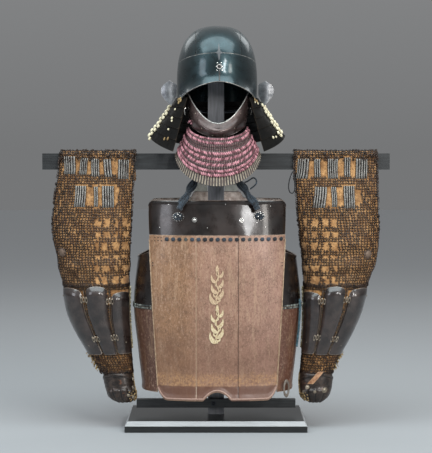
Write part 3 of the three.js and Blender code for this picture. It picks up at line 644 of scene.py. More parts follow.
def build_world():
    """A soft grey sky, brighter overhead, as bright at the horizon as the far floor."""
    world = bpy.data.worlds.new("studio")
    bpy.context.scene.world = world
    world.use_nodes = True
    tree = world.node_tree
    direction = tree.nodes.new("ShaderNodeTexCoord").outputs["Generated"]
    split = tree.nodes.new("ShaderNodeSeparateXYZ")
    strength = tree.nodes.new("ShaderNodeMapRange")
    tree.links.new(direction, split.inputs[0])
    tree.links.new(split.outputs[2], strength.inputs["Value"])
    strength.inputs["To Min"].default_value = SKY["horizon"]
    strength.inputs["To Max"].default_value = SKY["zenith"]
    background = tree.nodes["Background"]
    background.inputs[0].default_value = rgb(SKY["colour"])
    tree.links.new(strength.outputs[0], background.inputs[1])


def build_floor():
    mesh = bpy.data.meshes.new("floor")
    turns = np.arange(FLOOR["sides"]) * math.tau / FLOOR["sides"]
    rim = [(FLOOR["radius"] * math.cos(a), FLOOR["radius"] * math.sin(a), FLOOR["z"]) for a in turns]
    mesh.from_pydata(rim, [], [list(range(FLOOR["sides"]))])
    mesh.materials.append(Paint("studio_floor").done(FLOOR["colour"], 0.8, specular_ior_level=0.1))
    floor = bpy.data.objects.new("floor", mesh)
    bpy.context.scene.collection.objects.link(floor)


def build_lights():
    for name, place, aim, size, roll, power, colour in LIGHTS:
        data = bpy.data.lights.new(name, "AREA")
        data.shape, data.size, data.size_y = "RECTANGLE", *size
        data.energy, data.color = power, rgb(colour)[:3]
        light = bpy.data.objects.new(name, data)
        light.location = place
        aimed = (Vector(aim) - Vector(place)).to_track_quat("-Z", "Y")
        light.rotation_euler = (aimed @ Quaternion((0, 0, 1), math.radians(roll))).to_euler()
        bpy.context.scene.collection.objects.link(light)


def build_studio():
    build_floor()
    build_world()
    build_lights()
    bpy.context.scene.view_settings.view_transform = "Standard"


# ---------------------------------------------------------------- cords
THICK_CORD = 0.01  # metres; a cord above this has two strands beside it
# The CAD's cords, in metres: points, diameter, strands, how it lies, material and slot
CORDS = {
    "neck_cord_left": (
        [(-0.047, -0.053, 0.638), (-0.051, -0.066, 0.618), (-0.060, -0.088, 0.598), (-0.072, -0.113, 0.577),
         (-0.083, -0.125, 0.560), (-0.089, -0.129, 0.545)], 0.015, 4, "taut", NAVY, "navy_silk"),
    "neck_cord_right": (
        [(0.047, -0.053, 0.638), (0.053, -0.066, 0.616), (0.066, -0.088, 0.598), (0.080, -0.113, 0.577),
         (0.094, -0.125, 0.560), (0.101, -0.129, 0.545)], 0.015, 4, "taut", NAVY, "navy_silk"),
    "neck_cord_bow": (
        [(0.070, -0.104, 0.610), (0.076, -0.107, 0.612), (0.083, -0.111, 0.617), (0.091, -0.115, 0.621),
         (0.097, -0.118, 0.617), (0.098, -0.119, 0.609), (0.093, -0.118, 0.602), (0.087, -0.117, 0.597),
         (0.083, -0.115, 0.594)], 0.004, 2, "hanging", NAVY, "navy_silk"),
    "side_cord": (
        [(0.206, -0.066, 0.322), (0.2066, -0.068, 0.314), (0.2068, -0.070, 0.305), (0.2066, -0.071, 0.292),
         (0.2058, -0.071, 0.276), (0.2046, -0.071, 0.258), (0.203, -0.070, 0.240), (0.201, -0.069, 0.221),
         (0.199, -0.068, 0.204)], 0.006, 2, "hanging", TEAL, "teal_silk"),
    "sleeve_loop": (
        [(0.193, -0.050, 0.638), (0.188, -0.050, 0.633), (0.1835, -0.0495, 0.622), (0.180, -0.049, 0.608),
         (0.1795, -0.0485, 0.594), (0.183, -0.048, 0.584), (0.189, -0.048, 0.582), (0.1935, -0.0485, 0.588),
         (0.1945, -0.0495, 0.602), (0.194, -0.0505, 0.616), (0.1925, -0.052, 0.628)],
        0.003, 2, "hanging", SOOT, "black_silk"),
    "mask_tie_cord": (
        [(-0.064, -0.050, 0.790), (-0.062, -0.036, 0.789), (-0.052, -0.008, 0.787), (-0.038, 0.017, 0.785),
         (-0.022, 0.026, 0.784), (0.002, 0.027, 0.784), (0.026, 0.026, 0.784), (0.043, 0.017, 0.785),
         (0.059, -0.008, 0.787), (0.072, -0.036, 0.789), (0.074, -0.050, 0.790)],
        0.006, 2, "taut", NAVY, "navy_silk"),
}


def loose_strand(name, number, line, material, slot):
    """A thinner strand that lies beside a thick cord and crosses over it."""
    t = np.linspace(0, 1, len(line))
    swing = np.cos(2.6 * t * math.pi + number * math.pi)
    aside = stack(8.5 * swing, -4.5 - 2.5 * np.sin(3.4 * t * math.pi + number), 0)
    points, faces = tube(line + aside * np.sin(math.pi * t)[:, None] ** 0.35, 8.5, 10, 3, 16, 0.2)
    return piece(f"{name}_strand_{number + 1}", points, faces, material, slot=slot)


def build_cords():
    for name, (route, diameter, strands, lay, material, slot) in CORDS.items():
        line = smooth_route(np.array(route) / MM, 60)
        thick = diameter > THICK_CORD
        points, faces = tube(line, diameter / MM, 16 if thick else 12, strands, diameter / MM * 2.6)
        cord = piece(f"{name}_silk", points, faces, material, name, slot)
        beside = [loose_strand(name, k, line, material, slot) for k in range(2)] if thick else []
        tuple(route[0])


# ---------------------------------------------------------------- helmet
HELMET_PLACE = (2, 0.042)  # x and turn of the helmet, as in the CAD
BOWL = {"half": 100, "length": 120, "y": -10, "widest": 838, "crown": 994, "power": 2.75}
FLARE = {"reach": 30, "out": 9.5}  # the brim turns outwards above its edge
TOP_HALF = 54  # half the width of the top plate
SEAM_GAP = 0.3  # from the seam's middle to the plates above and below it
# The patch of the bowl that carries the brow's fittings: its heights, half its turn and its width
BROW = {"low": 850, "high": 950, "turn": 20, "wide": 80}
CREST = (0.8, 889.0)  # the ringed hole, as x and z


def placed(points, x, turn=0.0):
    """Points turned about the vertical axis and shifted across."""
    c, s = math.cos(turn), math.sin(turn)
    p = np.asarray(points, float)
    return stack(x + c * p[..., 0] - s * p[..., 1], s * p[..., 0] + c * p[..., 1], p[..., 2])


def on_helmet(points):
    return placed(points, *HELMET_PLACE)


def bowl_share(z):
    rise = np.clip((z - BOWL["widest"]) / (BOWL["crown"] - BOWL["widest"]), 0, 1)
    return (1 - rise ** BOWL["power"]) ** (1 / BOWL["power"])


def bowl_height(share):
    rest = 1 - np.minimum(share, 1) ** BOWL["power"]
    return lerp(BOWL["widest"], BOWL["crown"], np.maximum(rest, 0) ** (1 / BOWL["power"]))


def seam_z(degrees):
    return 898 + 25 * np.cos(np.radians(degrees))


def brim_z(degrees):
    return lerp(853, 812, np.minimum(np.abs(degrees) / 60, 1) ** 1.6)


def bowl_point(degrees, z):
    """A point of the bowl; near the front of the brim it turns outwards."""
    share, a = bowl_share(z), np.radians(degrees)
    turned = (degrees + 180) % 360 - 180
    above = z - brim_z(turned)
    out = FLARE["out"] * np.clip(1 - above / FLARE["reach"], 0, 1) ** 2 * smooth((75 - np.abs(turned)) / 30)
    half, length = BOWL["half"] * share + out, BOWL["length"] * share + out
    return stack(half * np.sin(a), BOWL["y"] - length * np.cos(a), z)


def share_at_seam(across, rear):
    """The bowl's share of its full size where a line along its top meets the seam."""
    share = np.ones_like(across)
    for _ in range(6):
        degrees = np.degrees(np.arcsin(np.clip(across / share, -1, 1)))
        share = bowl_share(seam_z(180 - degrees if rear else degrees) + 0.6)
    return share


def top_arc(across, v):
    """Places over the crown, at shares across it and from the front seam to the back one."""
    share = np.where(v > 0, share_at_seam(np.abs(across), True), share_at_seam(np.abs(across), False))
    along = np.sqrt(share**2 - across**2) * np.sin(v * math.pi / 2)
    height = bowl_height(np.hypot(across, along))
    return stack(across * BOWL["half"], BOWL["y"] + BOWL["length"] * along, height)


def helmet_piece(name, grid, lift):
    wall(f"{name}_shell", on_helmet(grid), lift, -2, HELMET, name, "helmet_lacquer")


def helmet_lines():
    """The plates' edges as narrow worn ridges."""
    degrees = np.linspace(-77, 77, 90)
    lines = [("brow", bowl_point(degrees, seam_z(degrees) - SEAM_GAP), 1.5)]
    arc = top_arc(np.full(50, TOP_HALF / BOWL["half"]), np.linspace(-1, 1, 50))
    lines += [(f"side_{side}", arc * (sign, 1, 1), 1.1) for side, sign in SIDES]
    degrees = np.linspace(-78, 78, 90)
    lines.append(("brim", bowl_point(degrees, brim_z(degrees) + 0.5), 2.0))
    for name, line, thick in lines:
        line_piece(f"helmet_line_{name}", on_helmet(line), thick, 6, HELMET_LINE, "helmet_lacquer")


def brow_fittings():
    """A pointed tongue over the brow's seam, a ringed hole with studs, and a rib below it."""
    degrees = np.linspace(-BROW["turn"], BROW["turn"], 41)[None]
    skin = Skin(on_helmet(bowl_point(degrees, np.linspace(BROW["low"], BROW["high"], 51)[:, None])))

    def at(x, z, lift=0.0):
        return skin.at(x / BROW["wide"] + 0.5, (z - BROW["low"]) / (BROW["high"] - BROW["low"]), lift)

    tongue = []
    for v in np.linspace(0, 1, 25):
        z = lerp(905, 944, v)
        half = 1.0 + 4.2 * (1 - abs(2 * v - 0.9) ** 0.8 if v < 0.95 else 0.02)
        half = max(half, 0.8) + 7 * float(bump_at(z, 922.5, 3.2))
        tongue.append(at(np.linspace(-half, half, 7), z)[0])
    wall("helmet_tongue", tongue, 1.6, -0.6, HELMET_LINE, slot="silvered_iron")
    ring = Heap()
    ring.add(ring_shape(5.2, 1.4, 18, 6), *at(*CREST, 1.0), 0.8)
    studs = np.array([(-4.8, 898), (6.4, 898), (-6.2, 880), (7.6, 880), (-7, 889), (8.6, 889)])
    ring.add(pebble_shape((3.4, 3.4, 2.4)), *at(*studs.T, 0.6), 0.9)
    ring.piece("helmet_crest_ring", STUD, slot="silvered_iron")
    rib = [at(np.linspace(-1.2, 2.8, 5), z)[0] for z in np.linspace(856, 879, 12)]
    wall("helmet_rib", rib, np.array([0.6, 2.4, 2.8, 2.4, 0.6]), -0.5, BLACK, slot="helmet_lacquer")
    # the hole is a dark disc of painted shade
    hole = Heap()
    hole.add(pebble_shape((8, 8, 1.2), 4), *at(*CREST, 0.35), 0.0)
    hole.piece("helmet_crest_hole", SCREW_AND_HOLE_SHADE, slot="black_lacquer")


def build_helmet():
    v = np.linspace(0, 1, 26)[:, None]
    degrees = np.linspace(-78, 78, 79)[None]
    brow = bowl_point(degrees, lerp(brim_z(degrees), seam_z(degrees) - SEAM_GAP, v))
    helmet_piece("helmet_brow_plate", brow, 0.5)
    degrees = np.linspace(78.4, 281.6, 91)[None]
    waist = bowl_point(degrees, lerp(812.0, seam_z(degrees) - SEAM_GAP, v))
    helmet_piece("helmet_waist_plate", waist, 0)
    v = np.linspace(-1, 1, 61)[:, None]
    across = np.linspace(-TOP_HALF, TOP_HALF, 37)[None] / BOWL["half"] + 0 * v
    helmet_piece("helmet_top_plate", top_arc(across, v), 0.6)
    v = np.linspace(0, 1, 16)[:, None]
    degrees = np.linspace(37, 143, 61)[None]
    edge = (TOP_HALF + 1.2) / (BOWL["half"] * np.sin(np.radians(degrees)))
    top = np.maximum(bowl_height(edge), seam_z(degrees) + 2)
    half = bowl_point(degrees, lerp(seam_z(degrees) + SEAM_GAP, top, v))
    for side, sign in SIDES:
        grid = half * (sign, 1, 1)
        helmet_piece(f"helmet_side_{side}", grid[:, ::sign], 0.2)
    helmet_lines()
    brow_fittings()


# ---------------------------------------------------------------- neck guard and ears
LAMES = 5
# Cream knots on the neck guard: share of the way down, degrees from the front, side and size
NECK_KNOTS = (
    (0.26, 62, -1, 5), (0.44, 60, -1, 6), (0.49, 58, -1, 5), (0.66, 57, -1, 5), (0.13, 61, 1, 5),
    (0.10, 55, 1, 4), (0.84, 59, 1, 6), (0.86, 64, 1, 5), (0.3, 130, -1, 5), (0.3, 130, 1, 5),
    (0.5, 150, 1, 5), (0.5, 150, -1, 5),
)
# Old gilt lacing at its front ends: share of the way down, degrees and side
NECK_GILT = (
    (0.03, 60, -1), (0.07, 57, -1), (0.11, 60, -1), (0.05, 64, -1),
    (0.82, 52, -1), (0.85, 56, -1), (0.05, 56, 1), (0.08, 60, 1),
)


def neck_point(drop, turn):
    """A place on the neck guard at a share of the way down, from its back (turn 0) to its ends (1 or -1)."""
    degrees = 180 - (180 - lerp(48, 41, drop)) * np.abs(turn)
    a = np.radians(degrees)
    half = lerp(101, 166, drop**1.15)
    front, back = lerp(121, 115, drop), lerp(121, 168, drop**1.15)
    forward = degrees < 90
    ahead = np.maximum(np.cos(a), 0) ** 1.3 / math.cos(math.radians(41)) ** 1.3
    low = np.where(forward, lerp(722, 684, ahead), lerp(722, 696, np.cos(a) ** 2))
    depth = np.where(forward, front, back)
    return stack(np.sign(turn) * half * np.sin(a), -10 - depth * np.cos(a), lerp(816, low, drop))


def neck_frame(drop, degrees, side, lift):
    """A place on the outside of the neck guard, lifted, with its frame."""
    turn = side * (180 - degrees) / (180 - lerp(48, 41, drop))
    step = 0.004
    across = neck_point(drop, turn - step) - neck_point(drop, turn + step)
    up = neck_point(drop - step, turn) - neck_point(drop + step, turn)
    axes = [a / np.linalg.norm(a) for a in (across, up, np.cross(across, up))]
    return on_helmet(neck_point(drop, turn) + axes[2] * lift), placed(axes, 0, HELMET_PLACE[1])


def build_neck_guard():
    turns = np.linspace(1, -1, 161)[None]
    for k in range(LAMES):
        bottom, top = (k + 1) / LAMES, k / LAMES - (0.045 if k else 0)
        v = np.linspace(0, 1, 9)[:, None]
        grid = on_helmet(neck_point(lerp(bottom, top, v), turns))
        lift = 0.4 + 2.9 * (1 - v) + 0 * turns
        wave = 0.35 * np.sin(turns * 260) * smooth((0.5 - v) * 4)
        wall(f"neck_lame_{k + 1}_shell", grid, lift + 1.5 + wave, lift, NECK, f"neck_guard_lame_{k + 1}",
             "neck_lacquer")
    neck_lacing()


def neck_lacing():
    """Cream tufts in a chain down each side, knots on the front wings, and rows of tufts behind."""
    cream = Heap()
    for side, degrees, drops in ((-1, 86, np.linspace(0.16, 0.97, 9)), (1, 80, np.linspace(0.14, 0.86, 10))):
        for k, drop in enumerate(drops):
            wobble = 2.2 * math.sin(k * 2.1)
            place = neck_frame(drop, degrees + wobble, side, 6.5)
            cream.add(pebble_shape((11, 12, 8)), *place, 0.6 + 0.4 * RNG.random())
            place = neck_frame(drop + 0.045, degrees - 6 + wobble, side, 5.5)
            cream.add(pebble_shape((8, 10, 7)), *place, 0.5 + 0.5 * RNG.random())
    for drop, degrees, side, size in NECK_KNOTS:
        cream.add(pebble_shape((size, size * 1.3, size * 0.8), 2), *neck_frame(drop, degrees, side, 4.8), 0.6)
    for k in range(1, LAMES):
        for degrees in np.linspace(100, 180, 7):
            for side in (-1, 1) if degrees < 179 else (1,):
                place = neck_frame(k / LAMES - 0.02, degrees, side, 5.0)
                cream.add(pebble_shape((6, 13, 4), 2), *place, 0.5 + 0.3 * RNG.random())
    cream.piece("neck_guard_lacing", CREAM, slot="laced_lame")
    gilt = Heap()
    for drop, degrees, side in NECK_GILT:
        gilt.add(pebble_shape((5, 9, 4), 2), *neck_frame(drop, degrees, side, 5.0))
    gilt.piece("neck_guard_old_lacing", OLD_GOLD, slot="laced_lame")


def build_ears():
    """Leaves with a round top that taper to a point, turned a little outwards and dished."""
    for side, sign in SIDES:
        low, high = [np.array(v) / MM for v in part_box(f"helmet_ear_{side}")]
        rows = []
        for v in np.linspace(0, 1, 25):
            z = lerp(low[2], high[2], v)
            inner = 0.36 * max(0, 1 - v / 0.42) + 0.05 * smooth((v - 0.8) / 0.2) ** 2 * 8
            outer = 1 - (1 - 0.36) * max(0.0, 1 - v / 0.55) ** 1.5
            outer -= 0.52 * max(0.0, (v - 0.62) / 0.38) ** 2.4
            inner = min(inner, outer - 0.03)
            u = np.linspace(inner, outer, 13)
            x = lerp(low[0], high[0], u) if sign > 0 else lerp(high[0], low[0], u)
            y = lerp(high[1], low[1], 0.5) + 5 * (u - 0.55) ** 2 * 2 - 4 * bump_at(u, 0.5, 0.6)
            rows.append(stack(x, y, z)[::sign])
        wall(f"helmet_ear_{side}_leaf", rows, 1.2, -1.2, SILVER, f"helmet_ear_{side}", "silvered_iron")


# ---------------------------------------------------------------- mask and throat guard
MASK_X = 5
MASK_TABLE = (
    ("z", "zCheek", "half", "yChin", "yCheek"),
    ((719, 747, 67, -119, -58), (731, 776, 74, -135, -50),
     (743, 808, 77, -129, -46), (752, 831, 76, -124, -44)),
)
THROAT_EDGES = (717, 693, 669, 643, 624, 601)
RIBS = 46  # on each lame, from side to side
TUFT_PITCH = 4.6  # mm between the tufts of the lacing
# Rows of lacing on each lame: height as a share of the lame, how tall, and whether it is dark red
LACING = (
    ((0.86, 5.5, False), (0.42, 7.5, False), (0.1, 3, True)),
    ((0.72, 3, True), (0.35, 8, False), (0.1, 3.2, True)),
    ((0.79, 9, False), (0.5, 3, True), (0.25, 8.5, False)),
    ((0.92, 3, True), (0.58, 7, False), (0.34, 2.6, True), (0.1, 8, False)),
    (),
)


def mask_grid(count=81, levels=25):
    """Points of the mask; it is higher at the cheeks than at the chin."""
    rows = []
    a = np.radians(np.linspace(-90, 90, count))
    for v in np.linspace(0, 1, levels):
        row = level(MASK_TABLE, lerp(719, 752, v))
        rows.append(stack(row["half"] * np.sin(a), lerp(row["yCheek"], row["yChin"], np.cos(a)),
                          lerp(row["z"], row["zCheek"], np.sin(a) ** 2)))
    return placed(rows, MASK_X)


def throat_share(z):
    """The share of the way down the throat guard of a height at its middle."""
    return (THROAT_EDGES[0] - z) / (THROAT_EDGES[0] - THROAT_EDGES[-1])


def throat_point(share, z, degrees):
    a = np.radians(degrees)
    half, end_z = lerp(69, 102, share), lerp(745, 678, share)
    end_y, front_y = lerp(-62, -74, share), lerp(-130, -166, share)
    return placed(stack(half * np.sin(a), lerp(end_y, front_y, np.cos(a)), lerp(end_z, z, np.cos(a))), MASK_X)


def build_mask():
    grid = mask_grid()
    v = np.linspace(0, 1, 25)[:, None]
    u = np.linspace(-1, 1, 81)[None]
    chin = 1.6 * bump_at(u, 0, 0.28) * bump_at(v, 0.45, 0.5)
    wall("mask_shell", grid, 0.4 + chin, -2.2, MASK, "mask", "mask_lacquer")
    skin = Skin(grid)
    for name, share, thick, material in (("top", 1.0, 2.6, WORN_LINE), ("bottom", 0.0, 1.8, MASK)):
        line = skin.at(np.linspace(0, 1, 90), share, 0.2)[0]
        line_piece(f"mask_rim_{name}", line, thick, 8, material, "mask_lacquer", edge=9.0)
    # L-shaped hooks that stand off the cheeks
    for (side, sign), shift in zip(SIDES, (0, 10)):
        path = np.array([(66, -62, 793), (74, -69, 791), (77, -70, 788), (76, -67, 775)]) * (sign, 1, 1)
        line = smooth_route(path + (shift, 0, 0), 24)
        line_piece(f"mask_hook_{side}", line, 2.8, 8, STUD, "silvered_iron")
    rivets = Heap()
    spots = np.array([(0.32, 0.3), (0.68, 0.3), (0.44, 0.12), (0.56, 0.12), (0.25, 0.75), (0.75, 0.75)])
    rivets.add(pebble_shape((3, 3, 2)), *skin.at(*spots.T, 1.0))
    rivets.piece("mask_rivets", LINK, slot="mask_lacquer")


def build_throat():
    degrees = np.linspace(-90, 90, 369)[None]
    wave = np.abs(np.sin(np.radians(degrees) * RIBS))
    tufts, shade = Heap(), Heap()
    for k, low in enumerate(THROAT_EDGES[1:]):
        high = THROAT_EDGES[k] + (2 if k else 0)
        z = np.linspace(low, high, 6)[:, None]
        v = (z - low) / (high - low)
        grid = throat_point(throat_share(z), z, degrees)
        lift = 0.3 + 2.2 * (1 - v) + 0 * degrees
        last = k == LAMES - 1
        wall(f"throat_lame_{k + 1}_laced", grid, lift + 1.0 + 0.8 * wave, lift, RIBBED,
             f"throat_guard_lame_{k + 1}", "striped_lame" if last else "laced_lame",
             rib=both_sides(wave, lift.shape), last=float(last))
        lace_lame(Skin(grid), LACING[k], tufts, shade)
    shade.piece("throat_dark_lacing", MAROON, slot="laced_lame")
    tufts.piece("throat_lacing", PINK, slot="laced_lame")
    throat_edges()


def lace_lame(skin, rows, tufts, shade):
    """Rows of slanted tufts across a lame, each row leaning against the one before."""
    width = travelled(skin.points, 1)[:, -1].mean()
    count = int(width / TUFT_PITCH)
    for row, (height, tall, dark) in enumerate(rows):
        u = (np.arange(count) + 0.5 * (row % 2) + 0.25) / count
        lift = 2.2 * (1 - height) + (1.9 if dark else 2.5)
        origins, frames = skin.at(u, height + RNG.normal(0, 0.02, count), lift)
        slanted = spun(frames, math.radians(28 if row % 2 else -28), 0, 1)
        shape = pebble_shape((5.2, tall, 2.6), 1) if dark else pebble_shape((3.9, tall * 1.15, 3.8), 2)
        (shade if dark else tufts).add(shape, origins, slanted)


def throat_edges():
    """Pale stitched side edges, and a pink knot at the wearer's right."""
    stitches, knot = Heap(), Heap()
    spread = np.array([[0.8, 0, 0.6], [-0.6, 0, 0.8], [0, -1, 0]])
    z = np.linspace(606, 672, 15)
    for end in (-89, 89):
        origins = throat_point(throat_share(z), z, end) + (0, -2.5, 0)
        stitches.add(pebble_shape((6, 4.5, 4), 2), origins, np.tile(spread, (len(z), 1, 1)))
    stitches.piece("throat_edge_stitches", OLD_GOLD, slot="laced_lame")
    middle = mask_grid(11, 5)[1, 1]
    for _ in range(7):
        shift = RNG.normal(0, 3.2, 3) + (-1, -6, -4)
        knot.add(pebble_shape((6, 6, 5), 2), middle + shift, np.eye(3))
    knot.piece("throat_knot", PINK, slot="laced_lame")


# ---------------------------------------------------------------- cuirass
CUIRASS = {"x": 3, "y": -12, "square": 2.6}
CUIRASS_TABLE = (
    ("z", "half", "front", "back", "panel"),
    ((76, 185, 119, 111, 145), (120, 189, 114, 112, 147), (200, 198, 119, 118, 152),
     (306, 208, 125, 124, 158), (400, 200, 127, 125, 163), (480, 188, 120, 122, 167),
     (582, 176, 98, 116, 168)),
)
SEAM_X = 51
# The three lower plates of a face, by the x of their edges; None is the outer edge
PANELS = (
    ("left", None, -SEAM_X - 0.3), ("centre", -SEAM_X + 0.3, SEAM_X - 0.3), ("right", SEAM_X + 0.3, None),
)
HEM = {"z": 78, "notch": 21, "notch_half": 34, "corner": 26, "corner_x": 145, "corner_run": 24}
# The row of knots under the chest plate; two of them are faded
KNOTS = {"first": -122.0, "pitch": 15.4, "number": 19, "z": 472, "faded": (3, 13)}
CHEST = {"bottom": 482, "top": 565, "corner": 12, "nape": 16, "nape_half": 58, "nape_run": 10}


def cuirass_at(x, z, rear=False):
    """Places on the front or back at distances from its middle and heights."""
    x, z = np.broadcast_arrays(np.asarray(x, float), np.asarray(z, float))
    heights = np.linspace(70, 600, 266)
    rows = [level(CUIRASS_TABLE, h) for h in heights]
    half = np.interp(z, heights, [r["half"] for r in rows])
    depth = np.interp(z, heights, [r["back" if rear else "front"] for r in rows])
    depth = depth * (1 - np.abs(x / half) ** CUIRASS["square"]) ** (1 / CUIRASS["square"])
    return stack(CUIRASS["x"] + (-x if rear else x), CUIRASS["y"] + (depth if rear else -depth), z)


def hem_z(x):
    """The height of the hem: a round notch in the middle, and corners that rise."""
    notch = HEM["notch"] * np.maximum(0, 1 - (x / HEM["notch_half"]) ** 2)
    run = np.abs(x) - HEM["corner_x"] + HEM["corner_run"]
    corner = HEM["corner"] * np.maximum(0, run / HEM["corner_run"]) ** 2
    return HEM["z"] + notch + np.minimum(corner, HEM["corner"])


def chest_top(x, panel, rear):
    """The top edge of the chest plate: rounded corners, and behind, a raised nape."""
    from_corner = np.maximum(0, CHEST["corner"] - (panel - np.abs(x)))
    dip = CHEST["corner"] - np.sqrt(np.maximum(0, CHEST["corner"] ** 2 - from_corner**2))
    rise = smooth((CHEST["nape_half"] + CHEST["nape_run"] - np.abs(x)) / CHEST["nape_run"])
    return CHEST["top"] - dip + (CHEST["nape"] * rise if rear else 0)


def panel_half(z):
    """Half the width of the front or back at each height."""
    return np.array([level(CUIRASS_TABLE, h)["panel"] for h in np.ravel(z)]).reshape(np.shape(z))


def build_panels(where, rear):
    """The three lower plates of a face, with a rolled rim and a step above the hem."""
    u, v = np.linspace(0, 1, 33)[None], np.linspace(0, 1, 90)[:, None]
    edge = panel_half(lerp(HEM["z"], CHEST["bottom"], v))
    for name, first, last in PANELS:
        x = lerp(-edge if first is None else first, edge if last is None else last, u)
        z = lerp(hem_z(x), CHEST["bottom"] - 0.6, v)
        above = z - hem_z(x)
        rim = 2.6 * np.sqrt(np.clip(1 - ((above - 5) / 5.5) ** 2, 0, 1))
        step = 0.9 * smooth((36 - above) / 2.5)
        seam = -0.7 * np.clip(1 - np.minimum(x - x[:, :1], x[:, -1:] - x) / 2.5, 0, 1) ** 2
        dents = 0.15 * np.sin(x * 0.11 + z * 0.013) * np.sin(z * 0.021 + 1.3)
        wall(f"cuirass_{where}_{name}_leather", cuirass_at(x, z, rear), rim + step + seam + dents, -2, FRONT,
             f"cuirass_{where}_{name}", "front_leather")


def build_chest(where, rear):
    """The lacquered plate above, dented, with a rim, and a pale line along its top that is a painted
    highlight on the rolled edge.
    """
    ends = np.linspace(0.93, 1, 12)
    columns = np.concatenate([-ends[::-1], np.linspace(-0.92, 0.92, 70), ends])
    v = np.linspace(0, 1, 30)[:, None]
    panel = panel_half(lerp(CHEST["bottom"], CHEST["top"], v))
    x = columns[None] * panel
    z = lerp(CHEST["bottom"], chest_top(x, panel, rear), v)
    rim = 2.2 * np.sqrt(np.clip(1 - ((v - 0.965) / 0.04) ** 2, 0, 1))
    dents = 0.7 * np.sin(x * 0.037 + 1.1) * np.sin(z * 0.05) + 0.35 * np.sin(x * 0.09 + z * 0.03)
    node = "cuirass_back_top" if rear else "cuirass_chest_plate"
    wall(f"{node}_shell", cuirass_at(x, z, rear), 0.3 + rim + dents * smooth((1 - v) * 6), -2,
         BACK_TOP if rear else BLACK, node, "black_lacquer")
    # a pale line along the top: a painted highlight on the rolled edge
    line = cuirass_at(x[-1], z[-1], rear) + (0, 0, 0.6)
    line_piece(f"cuirass_{where}_top_line", line, 1.8, 8, RIM_HIGHLIGHT, "black_lacquer")


def build_rims(where, rear):
    """A pale rolled rim along the hem of a face, and pale binding down its outer edges."""
    x = np.linspace(-144.5, 144.5, 160)
    line = cuirass_at(x, hem_z(x) + 4.5, rear) + (0, 1.2 if rear else -1.2, 0)
    line_piece(f"cuirass_{where}_hem_roll", line, 6.0, 10, PALE_RIM, "front_leather",
               lambda count: 0.35 + 0.5 * RNG.random(count))
    z = np.linspace(112, 470, 90)
    wobble = 0.5 * np.sin(z * 0.11) + 0.4 * np.sin(z * 0.043 + 2)
    for side, sign in SIDES:
        edge = panel_half(z) * sign * 0.996
        line = cuirass_at(edge, z, rear) + stack(sign * (0.4 + 0.3 * wobble), 0, 0)
        line_piece(f"cuirass_{where}_edge_{side}", line, 2.6, 8, PALE_EDGE, "front_leather",
                   lambda count: np.clip(0.5 + 0.3 * RNG.normal(size=count), 0, 1))


def cuirass_side(turn, z):
    """A place round the side: turn is -1 at the front plate's edge and 1 at the back plate's."""
    power = 2 / CUIRASS["square"]
    row = level(CUIRASS_TABLE, z)
    start = math.asin(((row["panel"] + 0.6) / row["half"]) ** (1 / power))
    a = lerp(start, math.pi - start, (turn + 1) / 2)
    depth = np.where(np.cos(a) > 0, row["front"], row["back"])
    y = CUIRASS["y"] - np.sign(np.cos(a)) * depth * np.abs(np.cos(a)) ** power
    return stack(row["half"] * np.sin(a) ** power, y, z)


def build_sides():
    turns = np.linspace(-1, 1, 61)
    low = np.array([cuirass_side(turns, z) for z in np.linspace(96, 305.7, 50)])
    edge = lerp(427, 440, turns**2)
    high = []
    for v in np.linspace(0, 1, 36):
        high.append([cuirass_side(turn, lerp(306.3, z, v)) for turn, z in zip(turns, edge)])
    # Grid, and the height, place and half width of the rim
    plates = (("side", low, (1.6, 0.02, 0.035), SIDE, "side_leather"),
              ("underarm", np.array(high), (2.0, 0.985, 0.05), BLACK, "black_lacquer"))
    for side, sign in SIDES:
        for name, grid, (rise, middle, half), material, slot in plates:
            turned = (grid * (sign, 1, 1) + (CUIRASS["x"], 0, 0))[:, ::sign]
            rim = rise * bump_at(np.linspace(0, 1, len(grid))[:, None], middle, half)
            node = f"cuirass_{name}_{side}"
            wall(f"{node}_shell", turned, 0.2 + rim, -2, material, node, slot)
        side_lace(side, sign)


def side_lace(side, sign):
    """A strip of grey-green lace round the top of the brown plate."""
    lace = Heap()
    turns = np.linspace(-0.97, 0.97, 44)
    for row, z in enumerate((302.5, 308.0)):
        origins = np.array([cuirass_side(turn, z) for turn in turns + 0.01 * row]) * (sign, 1, 1)
        origins += (CUIRASS["x"], 0, 0)
        outward = (origins - (CUIRASS["x"], CUIRASS["y"], 0)) * (1, 1, 0)
        outward /= np.linalg.norm(outward, axis=1, keepdims=True)
        up = np.tile([0, 0, 1.0], (len(turns), 1))
        frames = np.stack([np.cross(up, outward), up, outward], 1)
        lace.add(pebble_shape((6.5, 5.5, 3.2), 2), origins + outward * 1.4, frames)
    lace.piece(f"cuirass_lace_{side}", GREY_LACE, slot="teal_silk")


def square_on(x, z, rear, lift):
    """A place on the cuirass and its frame, from the corners of a small square round it."""
    corners = cuirass_at(np.array([[x - 1, x + 1]]), np.array([[z - 1], [z + 1]]), rear)
    return Skin(corners).at(0.5, 0.5, lift)


def build_knots(where, rear):
    """A row of dark knots under the chest plate, with paired holes beyond its ends and below them, as dark
    discs of painted shade.
    """
    knots, faded, holes = Heap(), Heap(), Heap()
    for k in range(KNOTS["number"]):
        place = square_on(KNOTS["first"] + KNOTS["pitch"] * k, KNOTS["z"], rear, 1.6)
        if k in KNOTS["faded"]:
            faded.add(pebble_shape((9, 9.5, 5)), *place)
        else:
            knots.add(pebble_shape((11, 10.2, 6.5)), *place)
    spots = [(x, z, 3.2) for x in (-152, -144, -136, 157, 163) for z in (468.5, 475.5)]
    spots += [(x, z, 3.6) for x in (-157, 158) for z in (414, 407)]
    for x, z, size in spots:
        holes.add(pebble_shape((size, size, 0.8), 2), *square_on(x, z, rear, 0.35), 0.0)
    knots.piece(f"cuirass_{where}_knots", DARK_KNOT, slot="navy_silk")
    faded.piece(f"cuirass_{where}_faded_knots", GREY_LACE, slot="navy_silk")
    holes.piece(f"cuirass_{where}_holes", SCREW_AND_HOLE_SHADE, slot="black_lacquer")


